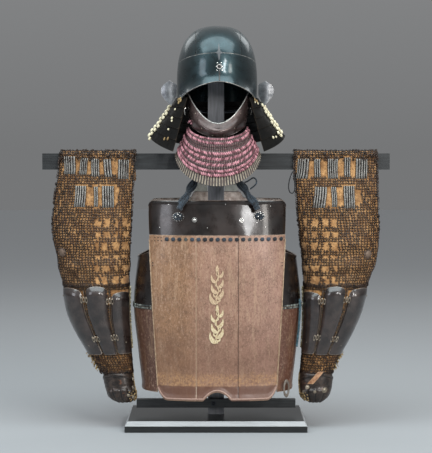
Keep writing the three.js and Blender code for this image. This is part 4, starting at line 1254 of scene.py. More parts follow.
def build_cuirass():
    for where, rear in FACES:
        build_panels(where, rear)
        build_chest(where, rear)
    for where, rear in FACES:
        build_rims(where, rear)
    build_sides()
    for where, rear in FACES:
        build_knots(where, rear)


# ---------------------------------------------------------------- breast ornament, studs, straps and ring
STEM = ((1, 0), (-3, 14), (3, 32), (-3, 50), (3, 68), (0, 86))  # x and height of a sprig's stem
LEAF_HEIGHTS = (3, 15, 28, 41, 54, 66)
SPRIGS = (("upper", 316, MOTIF_FAINT), ("lower", 220, MOTIF))
STUDS = ((-118, 556), (20, 556), (130, 552), (-24, 500), (118, 502), (96, 512), (-140, 500))
BOSSES = ((-55, 519, 10.5), (59, 518, 9.5))  # x, z and size
TOGGLES = ((-94, 526), (102, 528))
# A shoulder strap seen from the side, from behind the back plate over the bar to the chest: y and z
STRAP_ROUTE = ((-41.5, 632), (-41.5, 660), (-41.5, 680.5), (-38.5, 683), (-20, 684), (4, 682), (34, 673),
               (70, 648), (97, 610), (107, 582), (108, 548))


def on_front(x, z, lift=0.0):
    """Places on the front of the cuirass at distances from its middle, with frames."""
    x, z = np.broadcast_arrays(np.asarray(x, float), np.asarray(z, float))
    across = cuirass_at(x + 1, z) - cuirass_at(x - 1, z)
    up = cuirass_at(x, z + 1) - cuirass_at(x, z - 1)
    axes = [a / np.linalg.norm(a, axis=-1, keepdims=True) for a in (across, up, np.cross(across, up))]
    return cuirass_at(x, z) + axes[2] * np.asarray(lift)[..., None], np.stack(axes, -2)


def circle(count):
    return [math.tau * k / count for k in range(count)]


def leaf(x, z, length, width, degrees, bend):
    """The thin wall of a curved leaf lying on the front, from its stalk at x and z."""
    t = np.linspace(0, 1, 17)[:, None]
    side = np.linspace(-1, 1, 5)[None]
    turn = math.radians(degrees) + bend * (t - 0.5)
    along = length * t
    half = width / 2 * np.sin(math.pi * t**0.75) ** 0.8
    px = x + along * np.cos(turn) - side * half * np.sin(turn)
    pz = z + along * np.sin(turn) + side * half * np.cos(turn)
    return shell(on_front(px[:, ::-1], pz[:, ::-1], 1.3)[0], 0.5, -0.5)[:2]


def joined(parts):
    """Several meshes as one."""
    points, faces, count = [], [], 0
    for p, f in parts:
        points.append(p)
        faces += [[i + count for i in face] for face in (f.tolist() if isinstance(f, np.ndarray) else f)]
        count += len(p)
    return np.concatenate(points), faces


def build_ornament():
    """Two leaf sprigs, a generic design in the place of the two characters on the breast."""
    stem = np.array(STEM, float)
    for name, bottom, material in SPRIGS:
        line = smooth_route(on_front(stem[:, 0], bottom + stem[:, 1], 1.4)[0], 60)
        parts = [tube(line, 3.4, 8)]
        for k, height in enumerate(LEAF_HEIGHTS):
            x = float(np.interp(height, stem[:, 1], stem[:, 0]))
            size = 1 - 0.07 * k
            slant, bend = (24, 1.1) if k % 2 else (156, -1.1)
            parts.append(leaf(x, bottom + height, 30 * size, 12 * size, slant, bend))
            parts.append(leaf(x, bottom + height + 4, 14 * size, 6 * size, 180 - slant, -2.2 * bend))
        parts.append(leaf(0, bottom + 76, 19, 8, 90, 0.0))
        points, faces = joined(parts)
        piece(f"breast_sprig_{name}", points, faces, material, slot="front_leather",
              fields={"tint": RNG.random(len(points))})


def build_chest_fittings():
    """Studs on the chest plate, and the toggles that hold the neck cords."""
    studs = Heap()
    for x, z, size in BOSSES:
        studs.add(pebble_shape((size * 0.62, size * 0.62, 4.5), 4), *on_front(x, z, 1.6), 0.9)
        studs.add(ring_shape(size * 0.52, 0.9, 20, 6), *on_front(x, z, 1.6), 0.7)
    for x, z in STUDS:
        studs.add(pebble_shape((2.6, 2.6, 1.6), 2), *on_front(x, z, 0.8), 0.8)
    studs.piece("chest_studs", STUD, slot="silvered_iron")
    toggles, beads = Heap(), Heap()
    for x, z in TOGGLES:
        for a in circle(9):
            place = on_front(x + 8.5 * math.cos(a), z + 6.5 * math.sin(a), 4.5)
            toggles.add(pebble_shape((6.5, 5.5, 8)), *place)
        toggles.add(pebble_shape((15, 11, 8), 4), *on_front(x, z, 5.5), 0.2)
        for dx, dz in ((6, 1), (-5, -2), (0, 5)):
            beads.add(pebble_shape((4, 4, 3)), *on_front(x + dx, z + dz, 9.0), 0.8)
        for a in circle(14):
            place = on_front(x + 13 * math.cos(a), z + 10 * math.sin(a), 1.6)
            beads.add(pebble_shape((3.0, 2.2, 2), 2), *place, 0.5)
    toggles.piece("chest_toggles", DARK_KNOT, slot="navy_silk")
    beads.piece("chest_toggle_beads", STUD, slot="silvered_iron")


def build_straps():
    path = np.array(STRAP_ROUTE, float)
    spans = [np.linspace(a, b, 7)[:-1] for a, b in zip(path[:-1], path[1:])]
    fine = np.concatenate(spans + [path[-1:]])
    crown = 0.8 * (1 - np.linspace(-1, 1, 13)[None] ** 2)
    for side, sign in SIDES:
        x = sign * 39.5 + np.linspace(-16.5, 16.5, 13)[None]
        wall(f"shoulder_strap_{side}_leather", stack(x, fine[:, :1], fine[:, 1:]), 2.4 + crown, 0.2, STRAP,
             f"shoulder_strap_{side}", "strap_leather")


def build_ring():
    low, high = [np.array(v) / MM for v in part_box("side_ring")]
    turn = 0.85
    c, s = math.cos(turn), math.sin(turn)
    heap = Heap()
    heap.add(ring_shape(9.2, 2.3, 30, 10, 1.95), (low + high) / 2, [(c, s, 0), (0, 0, 1), (s, -c, 0)], 0.6)
    heap.piece("side_ring_horn", HORN, replaces="side_ring", slot="pale_cord")


# ---------------------------------------------------------------- sleeves
SLEEVE_TABLE = (
    ("z", "leftOut", "leftIn", "rightOut", "rightIn", "front", "deep", "wrap"),
    ((356, 379, 216, 376, 218, -94, 60, 118), (400, 391, 215, 392, 214, -88, 54, 112),
     (441, 399, 214, 400, 210, -82, 46, 106), (491, 405, 212, 403, 206, -74, 36, 99),
     (550, 400, 209, 400, 202, -65, 24, 93), (600, 394, 206, 398, 198, -57, 13, 90),
     (640, 388, 203, 397, 195, -50, 5.5, 90), (680.5, 384, 200, 397, 193, -48.5, 4, 90)),
)
SLEEVE_FOLD = ((-41, 686), (-19, 686), (-15.5, 681), (-15.5, 645), (-15.5, 612))
FOREARM_TABLE = (
    ("z", "leftOut", "leftIn", "rightOut", "rightIn", "front", "deep"),
    ((140, 288, 207, 291, 210, -72, 32), (168, 304, 209, 302, 212, -77, 37),
     (191, 319, 211, 313, 214, -81, 42), (248, 350, 215, 341, 218, -88, 51),
     (292, 369, 217, 360, 219, -92, 57), (356, 379, 216, 376, 218, -94, 60)),
)
HAND_TABLE = (
    ("z", "leftOut", "leftIn", "rightOut", "rightIn", "front", "deep", "wrap"),
    ((66, 246, 206, 263, 227, -70, 22, 90), (74, 265, 199, 277, 215, -74, 26, 92),
     (92, 273, 200, 286, 208, -77, 30, 96), (115, 279, 205, 290, 207, -76, 31, 98),
     (139, 281, 209, 289, 209, -73, 31, 98)),
)
# Splints: x from, x to, z from, z to, ribs and lean, for each sleeve
SPLINTS = {
    "left": ((-375, -346, 629, 673, 5, 0), (-336, -317, 628, 668, 4, 5), (-308, -287, 623, 667, 4, 0),
             (-277, -257, 622, 666, 3, -5), (-242, -215, 617, 665, 5, 0), (-348, -320, 548, 600, 5, 3),
             (-301, -290, 549, 598, 2, 0), (-281, -251, 547, 600, 5, 0)),
    "right": ((200, 229, 618, 667, 5, 5), (242, 258, 621, 666, 3, 0), (275, 301, 618, 667, 5, 0),
              (316, 332, 622, 670, 3, 0), (344, 374, 618, 667, 5, 0), (241, 272, 546, 597, 5, 5),
              (284, 298, 548, 597, 3, -2), (314, 342, 545, 600, 5, 0)),
}
# Windows of bare cloth in the mail: columns of x and rows of z, for each sleeve
WINDOW_COLUMNS = {
    "left": ((-296, -287), (-279, -265), (-252, -240), (-232, -216)),
    "right": ((215, 226), (235, 250), (262, 275), (285, 295)),
}
WINDOW_ROWS = ((502, 520), (476, 489), (441, 459), (421, 432), (393, 403), (361, 380))
# Bare strips of cloth between the splints
STRIPS = {
    "left": ((-346, -337, 634, 664), (-316, -309, 630, 662), (-286, -278, 630, 664), (-256, -243, 626, 664),
             (-319, -302, 552, 596), (-289, -282, 552, 596), (-250, -240, 560, 596)),
    "right": ((230, 241, 624, 664), (259, 274, 622, 664), (302, 315, 622, 668), (333, 343, 622, 664),
              (273, 283, 550, 594), (299, 313, 552, 596), (344, 356, 552, 590)),
}
# Creases of a sleeve: share across, height, reach across, reach up, slant, depth
CREASES = (
    (0.2, 560, 0.07, 70, 0.0006, -2.2), (0.42, 520, 0.06, 90, -0.0005, 1.6),
    (0.66, 585, 0.05, 60, 0.0004, -1.8), (0.83, 500, 0.06, 110, 0.0003, -2.4),
    (0.55, 430, 0.30, 14, 0.0, -2.0), (0.35, 400, 0.26, 11, 0.0, 2.2), (0.7, 385, 0.22, 10, 0.0, -2.2),
    (0.5, 460, 0.4, 18, 0.0, 1.2), (0.12, 430, 0.1, 30, 0.001, -2.6), (0.9, 410, 0.08, 40, -0.001, 2.0),
)
SLEEVE = {"low": 357, "high": 680.5, "rows": 84, "rear": -30}  # behind the rear y the mail has no windows
FOREARM = {"low": 140, "high": 355.5, "mail": 344, "arc": 150}  # mail above this height, and to these degrees
# Millimetres between the rings of the mail, and between those of its fringe
MAIL_PITCH = 6.5
FRINGE_PITCH = 4.6
LOOSE_RINGS = {"edge": 110, "top": 260}  # for each edge, and along the top, of a sleeve
# Strips of mail between the forearm's plates, in degrees
MAIL_STRIPS = ((-150, -85), (-22, -10), (19, 29), (81, 150))
PLATE_FOOT, PLATE_RISE = 187, 163  # where the plates start, and how tall the middle ones are
PLATES = (("outer", 350), ("middle", 355), ("inner", 340))  # and the height of each top
# Edges of the plates in degrees: at the top and at the bottom, as in the CAD
PLATE_EDGES = ((-84, -84), (-20, -14), (25, 23), (80, 80))
# Groups of oval links: the edge they cross and their height
LINK_GROUPS = ((1, 322), (2, 318), (1, 226), (2, 228))
# Fine dark links between the groups: from z, to z and number
SEAM_LINKS = ((192, 218, 8), (237, 309, 22), (331, 344, 5))
# Rivets of the plates: degrees and height
RIVETS = (
    (-60, 300), (-38, 262), (-2, 296), (8, 280), (6, 264), (52, 292), (-62, 240), (60, 250), (-40, 210),
    (2, 215), (50, 215), (-70, 330), (8, 338),
)
# Heights of the hand guard below its shoulder, and its rows of points
HAND_SPAN = {"low": 66, "high": 139, "rows": 48}
FINGERS = (-0.62, -0.3, 0.02, 0.32, 0.6)  # edges of the four finger plates, the outer side negative
# Metal bosses of a hand guard: share across, height, size and tint
HAND_BOSSES = {
    "left": ((0.72, 121, 6, 1.0), (0.62, 100, 8, 0.3), (0.3, 84, 5, 0.5), (0.55, 78, 6, 0.6)),
    "right": ((-0.3, 97, 10, 0.5), (0.32, 104, 7, 1.0), (0.05, 93, 5, 0.4), (0.5, 92, 5, 0.3)),
}
# Elbow discs: x and z
ELBOWS = {"left": (-378, 437), "right": (373, 432)}


def sleeve_point(row, side, degrees):
    """A place round a sleeve at a row of its table; 0 degrees is its front."""
    sign = dict(SIDES)[side]
    outer, inner = row[f"{side}Out"], row[f"{side}In"]
    a = np.radians(degrees)
    x = sign * (outer + inner) / 2 + (outer - inner) / 2 * np.sin(a)
    return stack(x, row["front"] + row["deep"] * (1 - np.cos(a)), row["z"])


def creased(grid, creases):
    """The grid with soft ridges and troughs, at the places listed."""
    share = np.linspace(0, 1, grid.shape[1])[None]
    z = grid[:, :1, 2]
    depth = np.zeros(grid.shape[:2])
    for u, height, reach, rise, slant, amount in creases:
        off = (share - u - slant * (z - height)) / reach
        depth += amount * np.exp(-(off**2) - ((z - height) / rise) ** 2)
    return grid + directions(grid)[2] * depth[..., None]


def upper_grid(side):
    """The upper sleeve, creased, with its fold over the crossbar."""
    rows = []
    for z in np.linspace(SLEEVE["low"], SLEEVE["high"], SLEEVE["rows"]):
        row = level(SLEEVE_TABLE, z)
        rows.append(sleeve_point(row, side, np.linspace(-row["wrap"], row["wrap"], 57)))
    grid = creased(np.array(rows), CREASES)
    top = grid[-1]
    fold = [top]
    for k, (y, z) in enumerate(SLEEVE_FOLD):
        last = fold[-1]
        steps = 3 if k < 3 else 9
        for t in np.linspace(0, 1, steps + 1)[1:]:
            fold.append(stack(top[:, 0], lerp(last[:, 1], y, t), lerp(last[:, 2], z, t)))
    return np.concatenate([grid, np.array(fold[1:])])


def mail(heap, links, skin, u_range, v_range, keep=None, shade=None):
    """Small round rings on a square grid with links between them, wherever keep(x, y, z) says so."""
    shares = np.linspace(0, 1, skin.points.shape[1])
    middle = skin.points[int((len(skin.points) - 1) * sum(v_range) / 2)][None]
    gone = travelled(middle, 1)[0]
    first, last = np.interp(u_range, shares, gone)
    columns = max(1, round((last - first) / MAIL_PITCH))
    u = np.interp(lerp(first, last, (np.arange(columns) + 0.5) / columns), gone, shares)
    widths = np.gradient(u) if columns > 1 else np.array([u_range[1] - u_range[0]])
    low, high = np.interp(v_range, np.linspace(0, 1, len(skin.rise)), skin.rise)
    rows = max(1, round((high - low) / MAIL_PITCH))
    v = skin.share(lerp(low, high, (np.arange(rows) + 0.5) / rows))
    heights = np.gradient(v) if rows > 1 else np.array([v_range[1] - v_range[0]])
    across, up = [g.reshape(-1) for g in np.meshgrid(widths, heights)]
    u, v = [g.reshape(-1) for g in np.meshgrid(u, v)]
    if keep:
        wanted = keep(*skin.at(u, v)[0].T)
        u, v, across, up = [values[wanted] for values in (u, v, across, up)]
    sway = 0.2 * np.sin(v * 61 + 3 * np.sin(u * 17)) + RNG.normal(0, 0.09, len(u))
    lift = 0.5 * np.sin(u * 41 + v * 13) * np.sin(v * 37) + RNG.normal(0, 0.12, len(u))
    u, v = u + sway * across, v + RNG.normal(0, 0.08, len(u)) * up
    tint = np.clip(RNG.normal(0.42, 0.2, len(u)) + 0.2 * np.sin(u * 9 + v * 7), 0, 1)
    # painted shade across the sleeve, from shade(u)
    if shade:
        tint = np.clip(tint * shade(u), 0, 1)
    heap.add(ring_shape(1.9, 0.85, 6, 3), *skin.at(u, v, 1.0 + lift), tint)
    links.add(pebble_shape((4.2, 3.6, 1.9), 1), *skin.at(u + across / 2, v, 0.75 + lift), tint * 0.7)
    links.add(pebble_shape((3.6, 4.2, 1.9), 1), *skin.at(u, v + up / 2, 0.75 + lift), tint * 0.7)


def fringe(heap, skin, v):
    """Two ragged rows of rings that hang over the lower edge of the mail."""
    count = int(travelled(skin.points[:1], 1)[0, -1] / FRINGE_PITCH)
    for drop, lift in ((0.0, 1.7), (3.0, 1.4)):
        u = np.clip((np.arange(count) + 0.5 + RNG.normal(0, 0.2, count)) / count, 0, 1)
        origins, frames = skin.at(u, v, lift)
        origins = origins - (0, 0, drop) + RNG.normal(0, 0.7, (count, 3)) * (0, 0, 1)
        heap.add(ring_shape(2.1, 0.85, 7, 3), origins, frames)


def edge_rings(rings, skin):
    """Loose rings, seen edge on, that break the two edges of the mail."""
    count = LOOSE_RINGS["edge"]
    for reach in (0.0, 1.0):
        u = np.clip(reach + RNG.normal(0, 0.012, count), 0, 1)
        v = skin.share(RNG.uniform(2, skin.rise[SLEEVE["rows"] - 4], count))
        origins, frames = skin.at(u, v, RNG.uniform(0.6, 2.2, count))
        rings.add(ring_shape(2.4, 0.85, 7, 3), origins + (0, -2.0, 0), frames[:, [2, 1, 0]])


def rolled_rings(rings, skin):
    """A ragged roll of loose rings along the top of the bar."""
    count = LOOSE_RINGS["top"]
    first, last = skin.rise[SLEEVE["rows"] - 6], skin.rise[SLEEVE["rows"] + 8]
    u, v = RNG.random(count), skin.share(RNG.uniform(first, last, count))
    origins, frames = skin.at(u, v, RNG.uniform(1.2, 3.4, count))
    rings.add(ring_shape(2.3, 0.8, 7, 3), origins, spun(frames, RNG.normal(0, 0.7, count), 0, 2))


def inside(x, z, boxes):
    found = np.zeros(np.shape(x), bool)
    for x0, x1, z0, z1 in boxes:
        found |= (x > x0) & (x < x1) & (z > z0) & (z < z1)
    return found


def bare_places(side):
    """Boxes without mail: the windows, the strips and the ground under the splints."""
    boxes = [(*columns, *rows) for columns in WINDOW_COLUMNS[side] for rows in WINDOW_ROWS]
    boxes += STRIPS[side]
    return boxes + [(x0 - 1.5, x1 + 1.5, z0 - 1, z1 + 2) for x0, x1, z0, z1, _, _ in SPLINTS[side]]


def left_shade(u):
    """Painted shade on the rings of the left sleeve: how bright they are, darker on its outer side and
    brighter towards the cuirass.
    """
    return 0.7 + 0.75 * u


def right_shade(u):
    """Painted shade on the rings of the right sleeve: how bright they are, darker down its middle."""
    return 1.2 - 1.0 * bump_at(u, 0.55, 0.4)


def build_upper_sleeve(side):
    grid = upper_grid(side)
    node = f"sleeve_{side}_upper"
    cloth_piece = wall(f"{node}_cloth", grid, -0.2, -2.6, HEMP, node, "sleeve_mail")
    width = float(travelled(grid, 1)[:, -1].mean()) * MM
    long = float(travelled(grid, 0)[-1].mean()) * MM
    skin = Skin(grid)
    bare = bare_places(side)

    def keep(x, y, z):
        return (y > SLEEVE["rear"]) | ~inside(x, z, bare)

    rings, links = Heap(), Heap()
    shade = left_shade if side == "left" else right_shade
    mail(rings, links, skin, (0.004, 0.996), (0.004, 0.995), keep, shade)
    fringe(rings, skin, 0.002)
    edge_rings(rings, skin)
    rolled_rings(rings, skin)
    ring_piece = rings.piece(f"{node}_rings", IRON, slot="sleeve_mail")
    link_piece = links.piece(f"{node}_links", IRON, slot="sleeve_mail")
    build_splints(side, skin)
    build_elbow(side, skin)


def build_splints(side, skin):
    """Narrow fluted plates laid on the shoulder, each with its number of ribs."""
    shares = np.linspace(0, 1, 14)
    taper = np.minimum(1, np.minimum(shares, 1 - shares) * 12)[:, None]
    for k, (x0, x1, z0, z1, ribs, lean) in enumerate(SPLINTS[side]):
        rows = []
        u = np.linspace(0, 1, ribs * 8 + 1)
        for v in shares:
            z = lerp(z0, z1, v)
            shift = lean * (v - 0.5) + 0.5 * math.sin(5 * v + k)
            low, w = skin.find(x0 + shift, z)
            high, _ = skin.find(x1 + shift, z)
            rows.append(skin.at(lerp(low, high, u), w)[0])
        ridge = np.abs(np.sin(math.pi * ribs * u))[None] ** 0.7
        wall(f"sleeve_{side}_splint_{k + 1}", rows, 0.9 + 2.7 * ridge * lerp(0.4, 1, taper), 0.2, SPLINT,
             slot="sleeve_mail", rib=both_sides(ridge, (len(shares), len(u))))


def build_elbow(side, skin):
    """A small disc with a collar of beads on the outer side of the elbow."""
    origin, frame_rows = skin.at(*skin.find(*ELBOWS[side]), 2.0)
    across, up, out = frame_rows
    disc = Heap()
    disc.add(pebble_shape((17, 17, 7), 5), origin, frame_rows, 0.5)
    disc.add(ring_shape(9.5, 1.5, 20, 6), origin - out, frame_rows, 0.3)
    for a in circle(8):
        spot = origin + across * 9.5 * math.cos(a) + up * 9.5 * math.sin(a)
        disc.add(pebble_shape((5.5, 5.5, 4), 2), spot, frame_rows, 0.2)
    disc.piece(f"elbow_disc_{side}", ELBOW, slot="arm_lacquer")


def forearm_point(side, z, degrees):
    """A place round the forearm; 0 degrees is its front."""
    return sleeve_point(level(FOREARM_TABLE, z), side, degrees)


def arm_angle(side, degrees):
    """Degrees of the CAD's plates: the outer side negative, for either sleeve."""
    return degrees * (1 if side == "left" else -1)


def arc_share(degrees):
    return (degrees + FOREARM["arc"]) / (2 * FOREARM["arc"])


def arm_share(z):
    return (z - FOREARM["low"]) / (FOREARM["high"] - FOREARM["low"])


def on_arm(skin, side, degrees, z, lift):
    """A place on the forearm at the degrees of the CAD's plates, lifted, with its frame."""
    return skin.at(arc_share(arm_angle(side, degrees)), arm_share(z), lift)


def build_forearm(side, sign):
    levels = np.linspace(FOREARM["low"], FOREARM["high"], 56)
    angles = np.linspace(-180, 180, 73)[:-1]
    grid = np.array([forearm_point(side, z, angles) for z in levels])
    z = levels[:, None]
    a = np.radians(angles)[None]
    fold = 0.72 * np.sin(a * 7 + z * 0.05) * bump_at(z, 165, 40)
    fold = fold + 1.5 * bump_at(z, 340, 22) * np.sin(a * 5 + 1)
    grid = grid + directions(grid, ring=True)[2] * np.minimum(fold, 0.6)[..., None]
    cloth_piece = wall(f"sleeve_{side}_forearm_cloth", grid, -0.2, -2.6, HEMP_DARK,
                       (f"sleeve_{side}_forearm", f"sleeve_{side}_wrist"), "sleeve_mail", ring=True)
    closed = np.concatenate([grid, grid[:, :1]], 1)
    around = float(travelled(closed, 1)[:, -1].mean()) * MM
    long = float(travelled(grid, 0)[-1].mean()) * MM
    front = np.linspace(-FOREARM["arc"], FOREARM["arc"], 121)
    skin = Skin([forearm_point(side, z, front) for z in levels])
    rings, links = Heap(), Heap()
    low, high = arm_share(PLATE_FOOT), arm_share(FOREARM["mail"])
    fringe(rings, skin, 0.0)
    mail(rings, links, skin, (0.02, 0.98), (0.004, low))
    mail(rings, links, skin, (0.02, 0.98), (high, 0.995))
    for strip in MAIL_STRIPS:
        a, b = sorted(arm_angle(side, degrees) for degrees in strip)
        mail(rings, links, skin, (arc_share(a), arc_share(b)), (low, high))
    ring_piece = rings.piece(f"sleeve_{side}_forearm_rings", IRON, slot="sleeve_mail")
    link_piece = links.piece(f"sleeve_{side}_forearm_links", IRON, slot="sleeve_mail")
    for index, (name, top) in enumerate(PLATES):
        arm_plate(side, index, name, top)
    plate_links(side, skin)
    build_seam(side, sign)


def plate_edge(edge, v):
    """Degrees of an edge between the plates, at a share of their height."""
    top, bottom = PLATE_EDGES[edge]
    return lerp(bottom, top, v)


def plate_ends(side, index, v):
    """The two edges of a forearm plate, in degrees, at a share of its height."""
    gap = 1.9 + 2.4 * v**3
    first = plate_edge(index, v) + (gap if index else 0)
    last = plate_edge(index + 1, v) - (gap if index < 2 else 0)
    return sorted((arm_angle(side, first), arm_angle(side, last)))


def arm_plate(side, index, name, top):
    """A domed plate with an arched top, rounded lower corners and a thin rim."""
    u = np.linspace(0, 1, 35)
    v = np.linspace(0, 1, 46)[:, None]
    off = np.abs(2 * u - 1)
    arch = 7 * off**2 + 64 * np.clip(off - 0.82, 0, 1) ** 1.4
    foot = PLATE_FOOT + 40 * np.clip(off - 0.85, 0, 1) ** 1.5
    degrees = np.array([lerp(*plate_ends(side, index, share), u) for share in v[:, 0]])
    heights = lerp(foot[None], top - arch[None], v)
    grid = [[forearm_point(side, z, d) for z, d in zip(*row)] for row in zip(heights, degrees)]
    dome = np.sqrt(np.clip(1 - (2 * u[None] - 1) ** 2, 0, 1))
    facing = np.cos(np.radians(degrees)).clip(0.05, 1)
    swell = 12.0 * dome * facing**0.7 * (0.45 + 0.55 * smooth(v * 2.2)) * smooth((1 - v) * 9) ** 0.5
    flute = 0.5 * np.sin(v * 7 + index) * dome
    sides = np.maximum(bump_at(u[None], 0.015, 0.035), bump_at(u[None], 0.985, 0.035))
    rim = 0.9 * np.maximum(sides, np.maximum(bump_at(v, 0.99, 0.022), bump_at(v, 0.01, 0.022)))
    node = f"arm_plate_{side}_{name}"
    wall(f"{node}_shell", grid, 2.6 + swell + flute + rim, 1, ARM, node, "arm_lacquer")


def plate_links(side, skin):
    """Groups of oval links that join the plates, fine dark links between the groups, and rivets."""
    links, rivets = Heap(), Heap()
    for edge, z in LINK_GROUPS:
        middle = plate_edge(edge, (z - PLATE_FOOT) / PLATE_RISE)
        row = level(FOREARM_TABLE, z)
        half = (row[f"{side}Out"] - row[f"{side}In"]) / 2
        for k in range(3):
            aside = math.degrees(6.2 * (k - 1) / half)
            degrees = middle + arm_angle(side, aside)
            place = on_arm(skin, side, degrees, z + 1.5 * (k % 2), 9.0)
            links.add(ring_shape(2.3, 0.65, 16, 5, 2.7), *place, 0.3 + 0.5 * RNG.random())
    for degrees, z in RIVETS:
        rivets.add(pebble_shape((4.2, 4.2, 3.2)), *on_arm(skin, side, degrees, z, 7.2))
    for edge in (1, 2):
        for z in np.concatenate([np.linspace(*run) for run in SEAM_LINKS]):
            degrees = plate_edge(edge, (z - PLATE_FOOT) / PLATE_RISE)
            links.add(pebble_shape((1.6, 3.4, 1.6), 2), *on_arm(skin, side, degrees, z, 2.6), 0.25)
    links.piece(f"arm_plate_links_{side}", LINK, slot="silvered_iron")
    rivets.piece(f"arm_plate_rivets_{side}", LINK, slot="silvered_iron")


def build_seam(side, sign):
    """The laced seam down the inner edge of the forearm: two cord edges and the crossing lace."""
    heights = np.linspace(196, 350, 60)
    for k, degrees in enumerate((88, 100)):
        line = np.array([forearm_point(side, z, arm_angle(side, degrees)) for z in heights])
        line += (-sign * (1.6 + 0.5 * math.sin(k)), 0, 0)
        line_piece(f"sleeve_{side}_seam_{k + 1}", line, 3.2, 8, OLD_GOLD, "pale_cord")
    lace = Heap()
    for k, z in enumerate(np.linspace(200, 348, 30)):
        for turn, degrees in enumerate((91, 97)):
            middle = forearm_point(side, z + RNG.normal(0, 0.8), arm_angle(side, degrees))
            slant = 0.6 if (k + turn) % 2 else -0.6
            across = np.array([0, math.cos(slant), math.sin(slant)])
            up = np.array([0, -math.sin(slant), math.cos(slant)])
            frame_rows = [across, up, np.cross(across, up)]
            lace.add(pebble_shape((7.5, 3.0, 4.4), 2), middle + (-sign * 3.8, 0, 0), frame_rows)
    lace.piece(f"sleeve_{side}_seam_lace", CREAM, slot="pale_cord")


def hand_row(side, z, angles):
    """How far a row of the hand guard stands out, and how much painted shade its grooves get.

    Four fluted finger plates lie under their knuckles, and a smooth plate with a rolled arch above."""
    turn = arm_angle(side, 1)
    outward = angles * turn
    raised, groove = 0 * angles, 0 * angles
    for first, last in zip(FINGERS[:-1], FINGERS[1:]):
        t = np.clip((outward - first) / (last - first), 0, 1)
        drop = 5 * abs(first + last - 0.1)
        finger = np.sqrt(np.clip(1 - (2 * t - 1) ** 2, 0, 1))
        raised += finger * (2.6 * smooth((101 - drop - z) / 5) + 2.0 * bump_at(z, 98 - drop, 7))
    for edge in FINGERS:
        groove = np.maximum(groove, bump_at(outward, edge, 0.05) * smooth((102 - z) / 6))
    arch = 134 - 20 * np.abs(angles + 0.12 * turn) ** 2.2
    raised += 1.7 * bump_at(z, arch, 3.6) - 0.5 * bump_at(z, 106, 5)
    groove = np.maximum(groove, 0.8 * bump_at(z, arch - 5, 3))
    groove = np.maximum(groove, 0.7 * bump_at(z, 103.5, 2.5) * (np.abs(outward) < 0.75))
    return raised * smooth((139.5 - z) / 6) - 0.4 * smooth((z - 134) / 5), groove


def hand_shell(side):
    """The hand guard with its turned-in shoulder; its skin is that of the part below the shoulder."""
    angles = np.linspace(-1, 1, 71)
    rows, relief, grooves = [], [], []
    for z in np.linspace(HAND_SPAN["low"], HAND_SPAN["high"], HAND_SPAN["rows"]):
        row = level(HAND_TABLE, z)
        rows.append(sleeve_point(row, side, angles * row["wrap"]))
        raised, groove = hand_row(side, z, angles)
        relief.append(raised)
        grooves.append(groove)
    skin = Skin(rows)
    rim = rows[-1]
    for t in np.linspace(0.15, 1, 6):
        rows.append(rim + stack(0.1 * t * (rim[:, 0].mean() - rim[:, 0]), 9 * t, 3 * t**0.5))
        relief.append(relief[-1])
        # painted shade on the turned-in shoulder
        grooves.append(0.55 + 0 * angles)
    wall(f"hand_guard_{side}_shell", rows, np.array(relief), -2.2, HAND, f"hand_guard_{side}", "arm_lacquer",
         groove=np.concatenate([np.ravel(grooves), 0 * np.ravel(grooves)]))
    return skin


def hand_share(z):
    return (z - HAND_SPAN["low"]) / (HAND_SPAN["high"] - HAND_SPAN["low"])


def on_hand(skin, side, outward, z, lift):
    return skin.at(0.5 + 0.5 * outward * arm_angle(side, 1), hand_share(z), lift)


def hand_fittings(side, skin):
    """Metal bosses, pale binding down the inner edge, and ragged gilt threads low on the guard."""
    metal, pale = Heap(), Heap()
    for outward, z, size, tint in HAND_BOSSES[side]:
        place = on_hand(skin, side, outward, z, 3.2)
        metal.add(pebble_shape((size, size, size * 0.5), 4), *place, tint)
        metal.add(ring_shape(size * 0.62, 0.9, 18, 6), *place, tint)
    metal.piece(f"hand_guard_metal_{side}", LINK, slot="arm_lacquer")
    for z in np.linspace(70, 136, 24):
        place = on_hand(skin, side, 0.93 - 0.1 * bump_at(z, 100, 30), z, 1.4)
        pale.add(pebble_shape((3.8, 4.2, 3.2), 2), *place)
    for _ in range(46):
        outward, z = RNG.uniform(0.35, 0.95), RNG.uniform(68, 92)
        place = on_hand(skin, side, outward, z, 2.6)
        pale.add(pebble_shape((4.6, 3.0, 2.4), 2), *place, RNG.uniform(0, 0.8))
    pale.piece(f"hand_guard_binding_{side}", OLD_GOLD, slot="pale_cord")


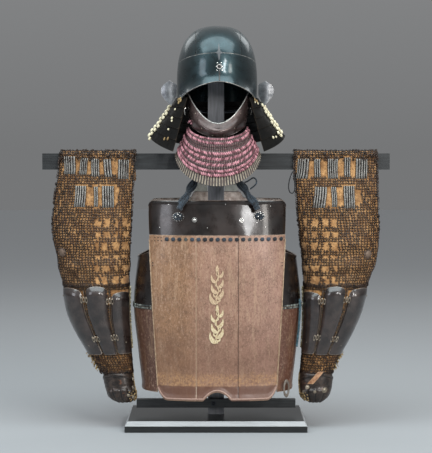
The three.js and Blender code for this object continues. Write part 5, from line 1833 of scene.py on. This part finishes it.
def hand_strip(skin):
    """A slanting strip of worn leather on the right guard, up past its rim."""
    first, last = 112, 142
    strip = []
    for z in np.linspace(first, last, 14):
        middle = 0.5 - 0.5 * lerp(0.22, -0.14, (z - first) / (last - first))
        row = skin.at(middle + np.linspace(-0.05, 0.05, 5), min(hand_share(z), 1), 3.0)[0]
        strip.append(row + (0, 0, max(z - HAND_SPAN["high"], 0)))
    wall("hand_guard_strip_right", strip, 0.9, -0.9, STRIP, slot="strap_leather")


def wrist_fray(side, sign):
    """Frayed threads of the cloth at the outer side of the wrist and under the plates."""
    fray = Heap()
    for _ in range(60):
        z = 146 + 44 * RNG.random()
        start = forearm_point(side, z, arm_angle(side, -60 - 45 * RNG.random()))
        reach = np.array([sign * RNG.uniform(1, 6.5), RNG.normal(-1, 2), RNG.normal(-4, 3)])
        points, faces = tube(smooth_route([start, start + reach * 0.5 + (0, 0, 1), start + reach], 6), 1.6, 5)
        walls = np.array([face for face in faces if len(face) == 4])
        fray.put(points, walls, np.full(len(points), RNG.random()))
    fray.piece(f"sleeve_{side}_fray", OLD_GOLD, slot="sleeve_mail")


def build_hand(side, sign):
    skin = hand_shell(side)
    hand_fittings(side, skin)
    if side == "right":
        hand_strip(skin)
    wrist_fray(side, sign)


def build_sleeves():
    for side, sign in SIDES:
        build_upper_sleeve(side)
        build_forearm(side, sign)
        build_hand(side, sign)


# ---------------------------------------------------------------- stand
def build_stand():
    materials = {"stand_base": STAND_BASE, "stand_post": STAND_GREY, "stand_crossbar": STAND_DARK,
                 "stand_lower_bar": STAND_DARK, "stand_head_block": STAND_GREY}
    for node, material in materials.items():
        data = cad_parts[node].data
        data.materials.clear()
        data.materials.append(material)
    low, high = [np.array(v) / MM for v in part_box("stand_lower_bar")]
    middle = (low[2] + high[2]) / 2
    facing = [(1, 0, 0), (0, 0, 1), (0, -1, 0)]
    screw = Heap()
    screw.add(pebble_shape((10, 10, 4), 4), (-6, low[1] - 0.6, middle), facing, 0.4)
    screw.add(ring_shape(5.6, 0.9, 20, 6), (-6, low[1] - 0.2, middle), facing, 0.9)
    screw.piece("stand_screws", SCREW_AND_HOLE_SHADE, slot="dark_wood")


build_camera()
build_studio()
build_cords()
build_helmet()
build_neck_guard()
build_ears()
build_mask()
build_throat()
build_cuirass()
build_ornament()
build_chest_fittings()
build_straps()
build_ring()
build_sleeves()
build_stand()
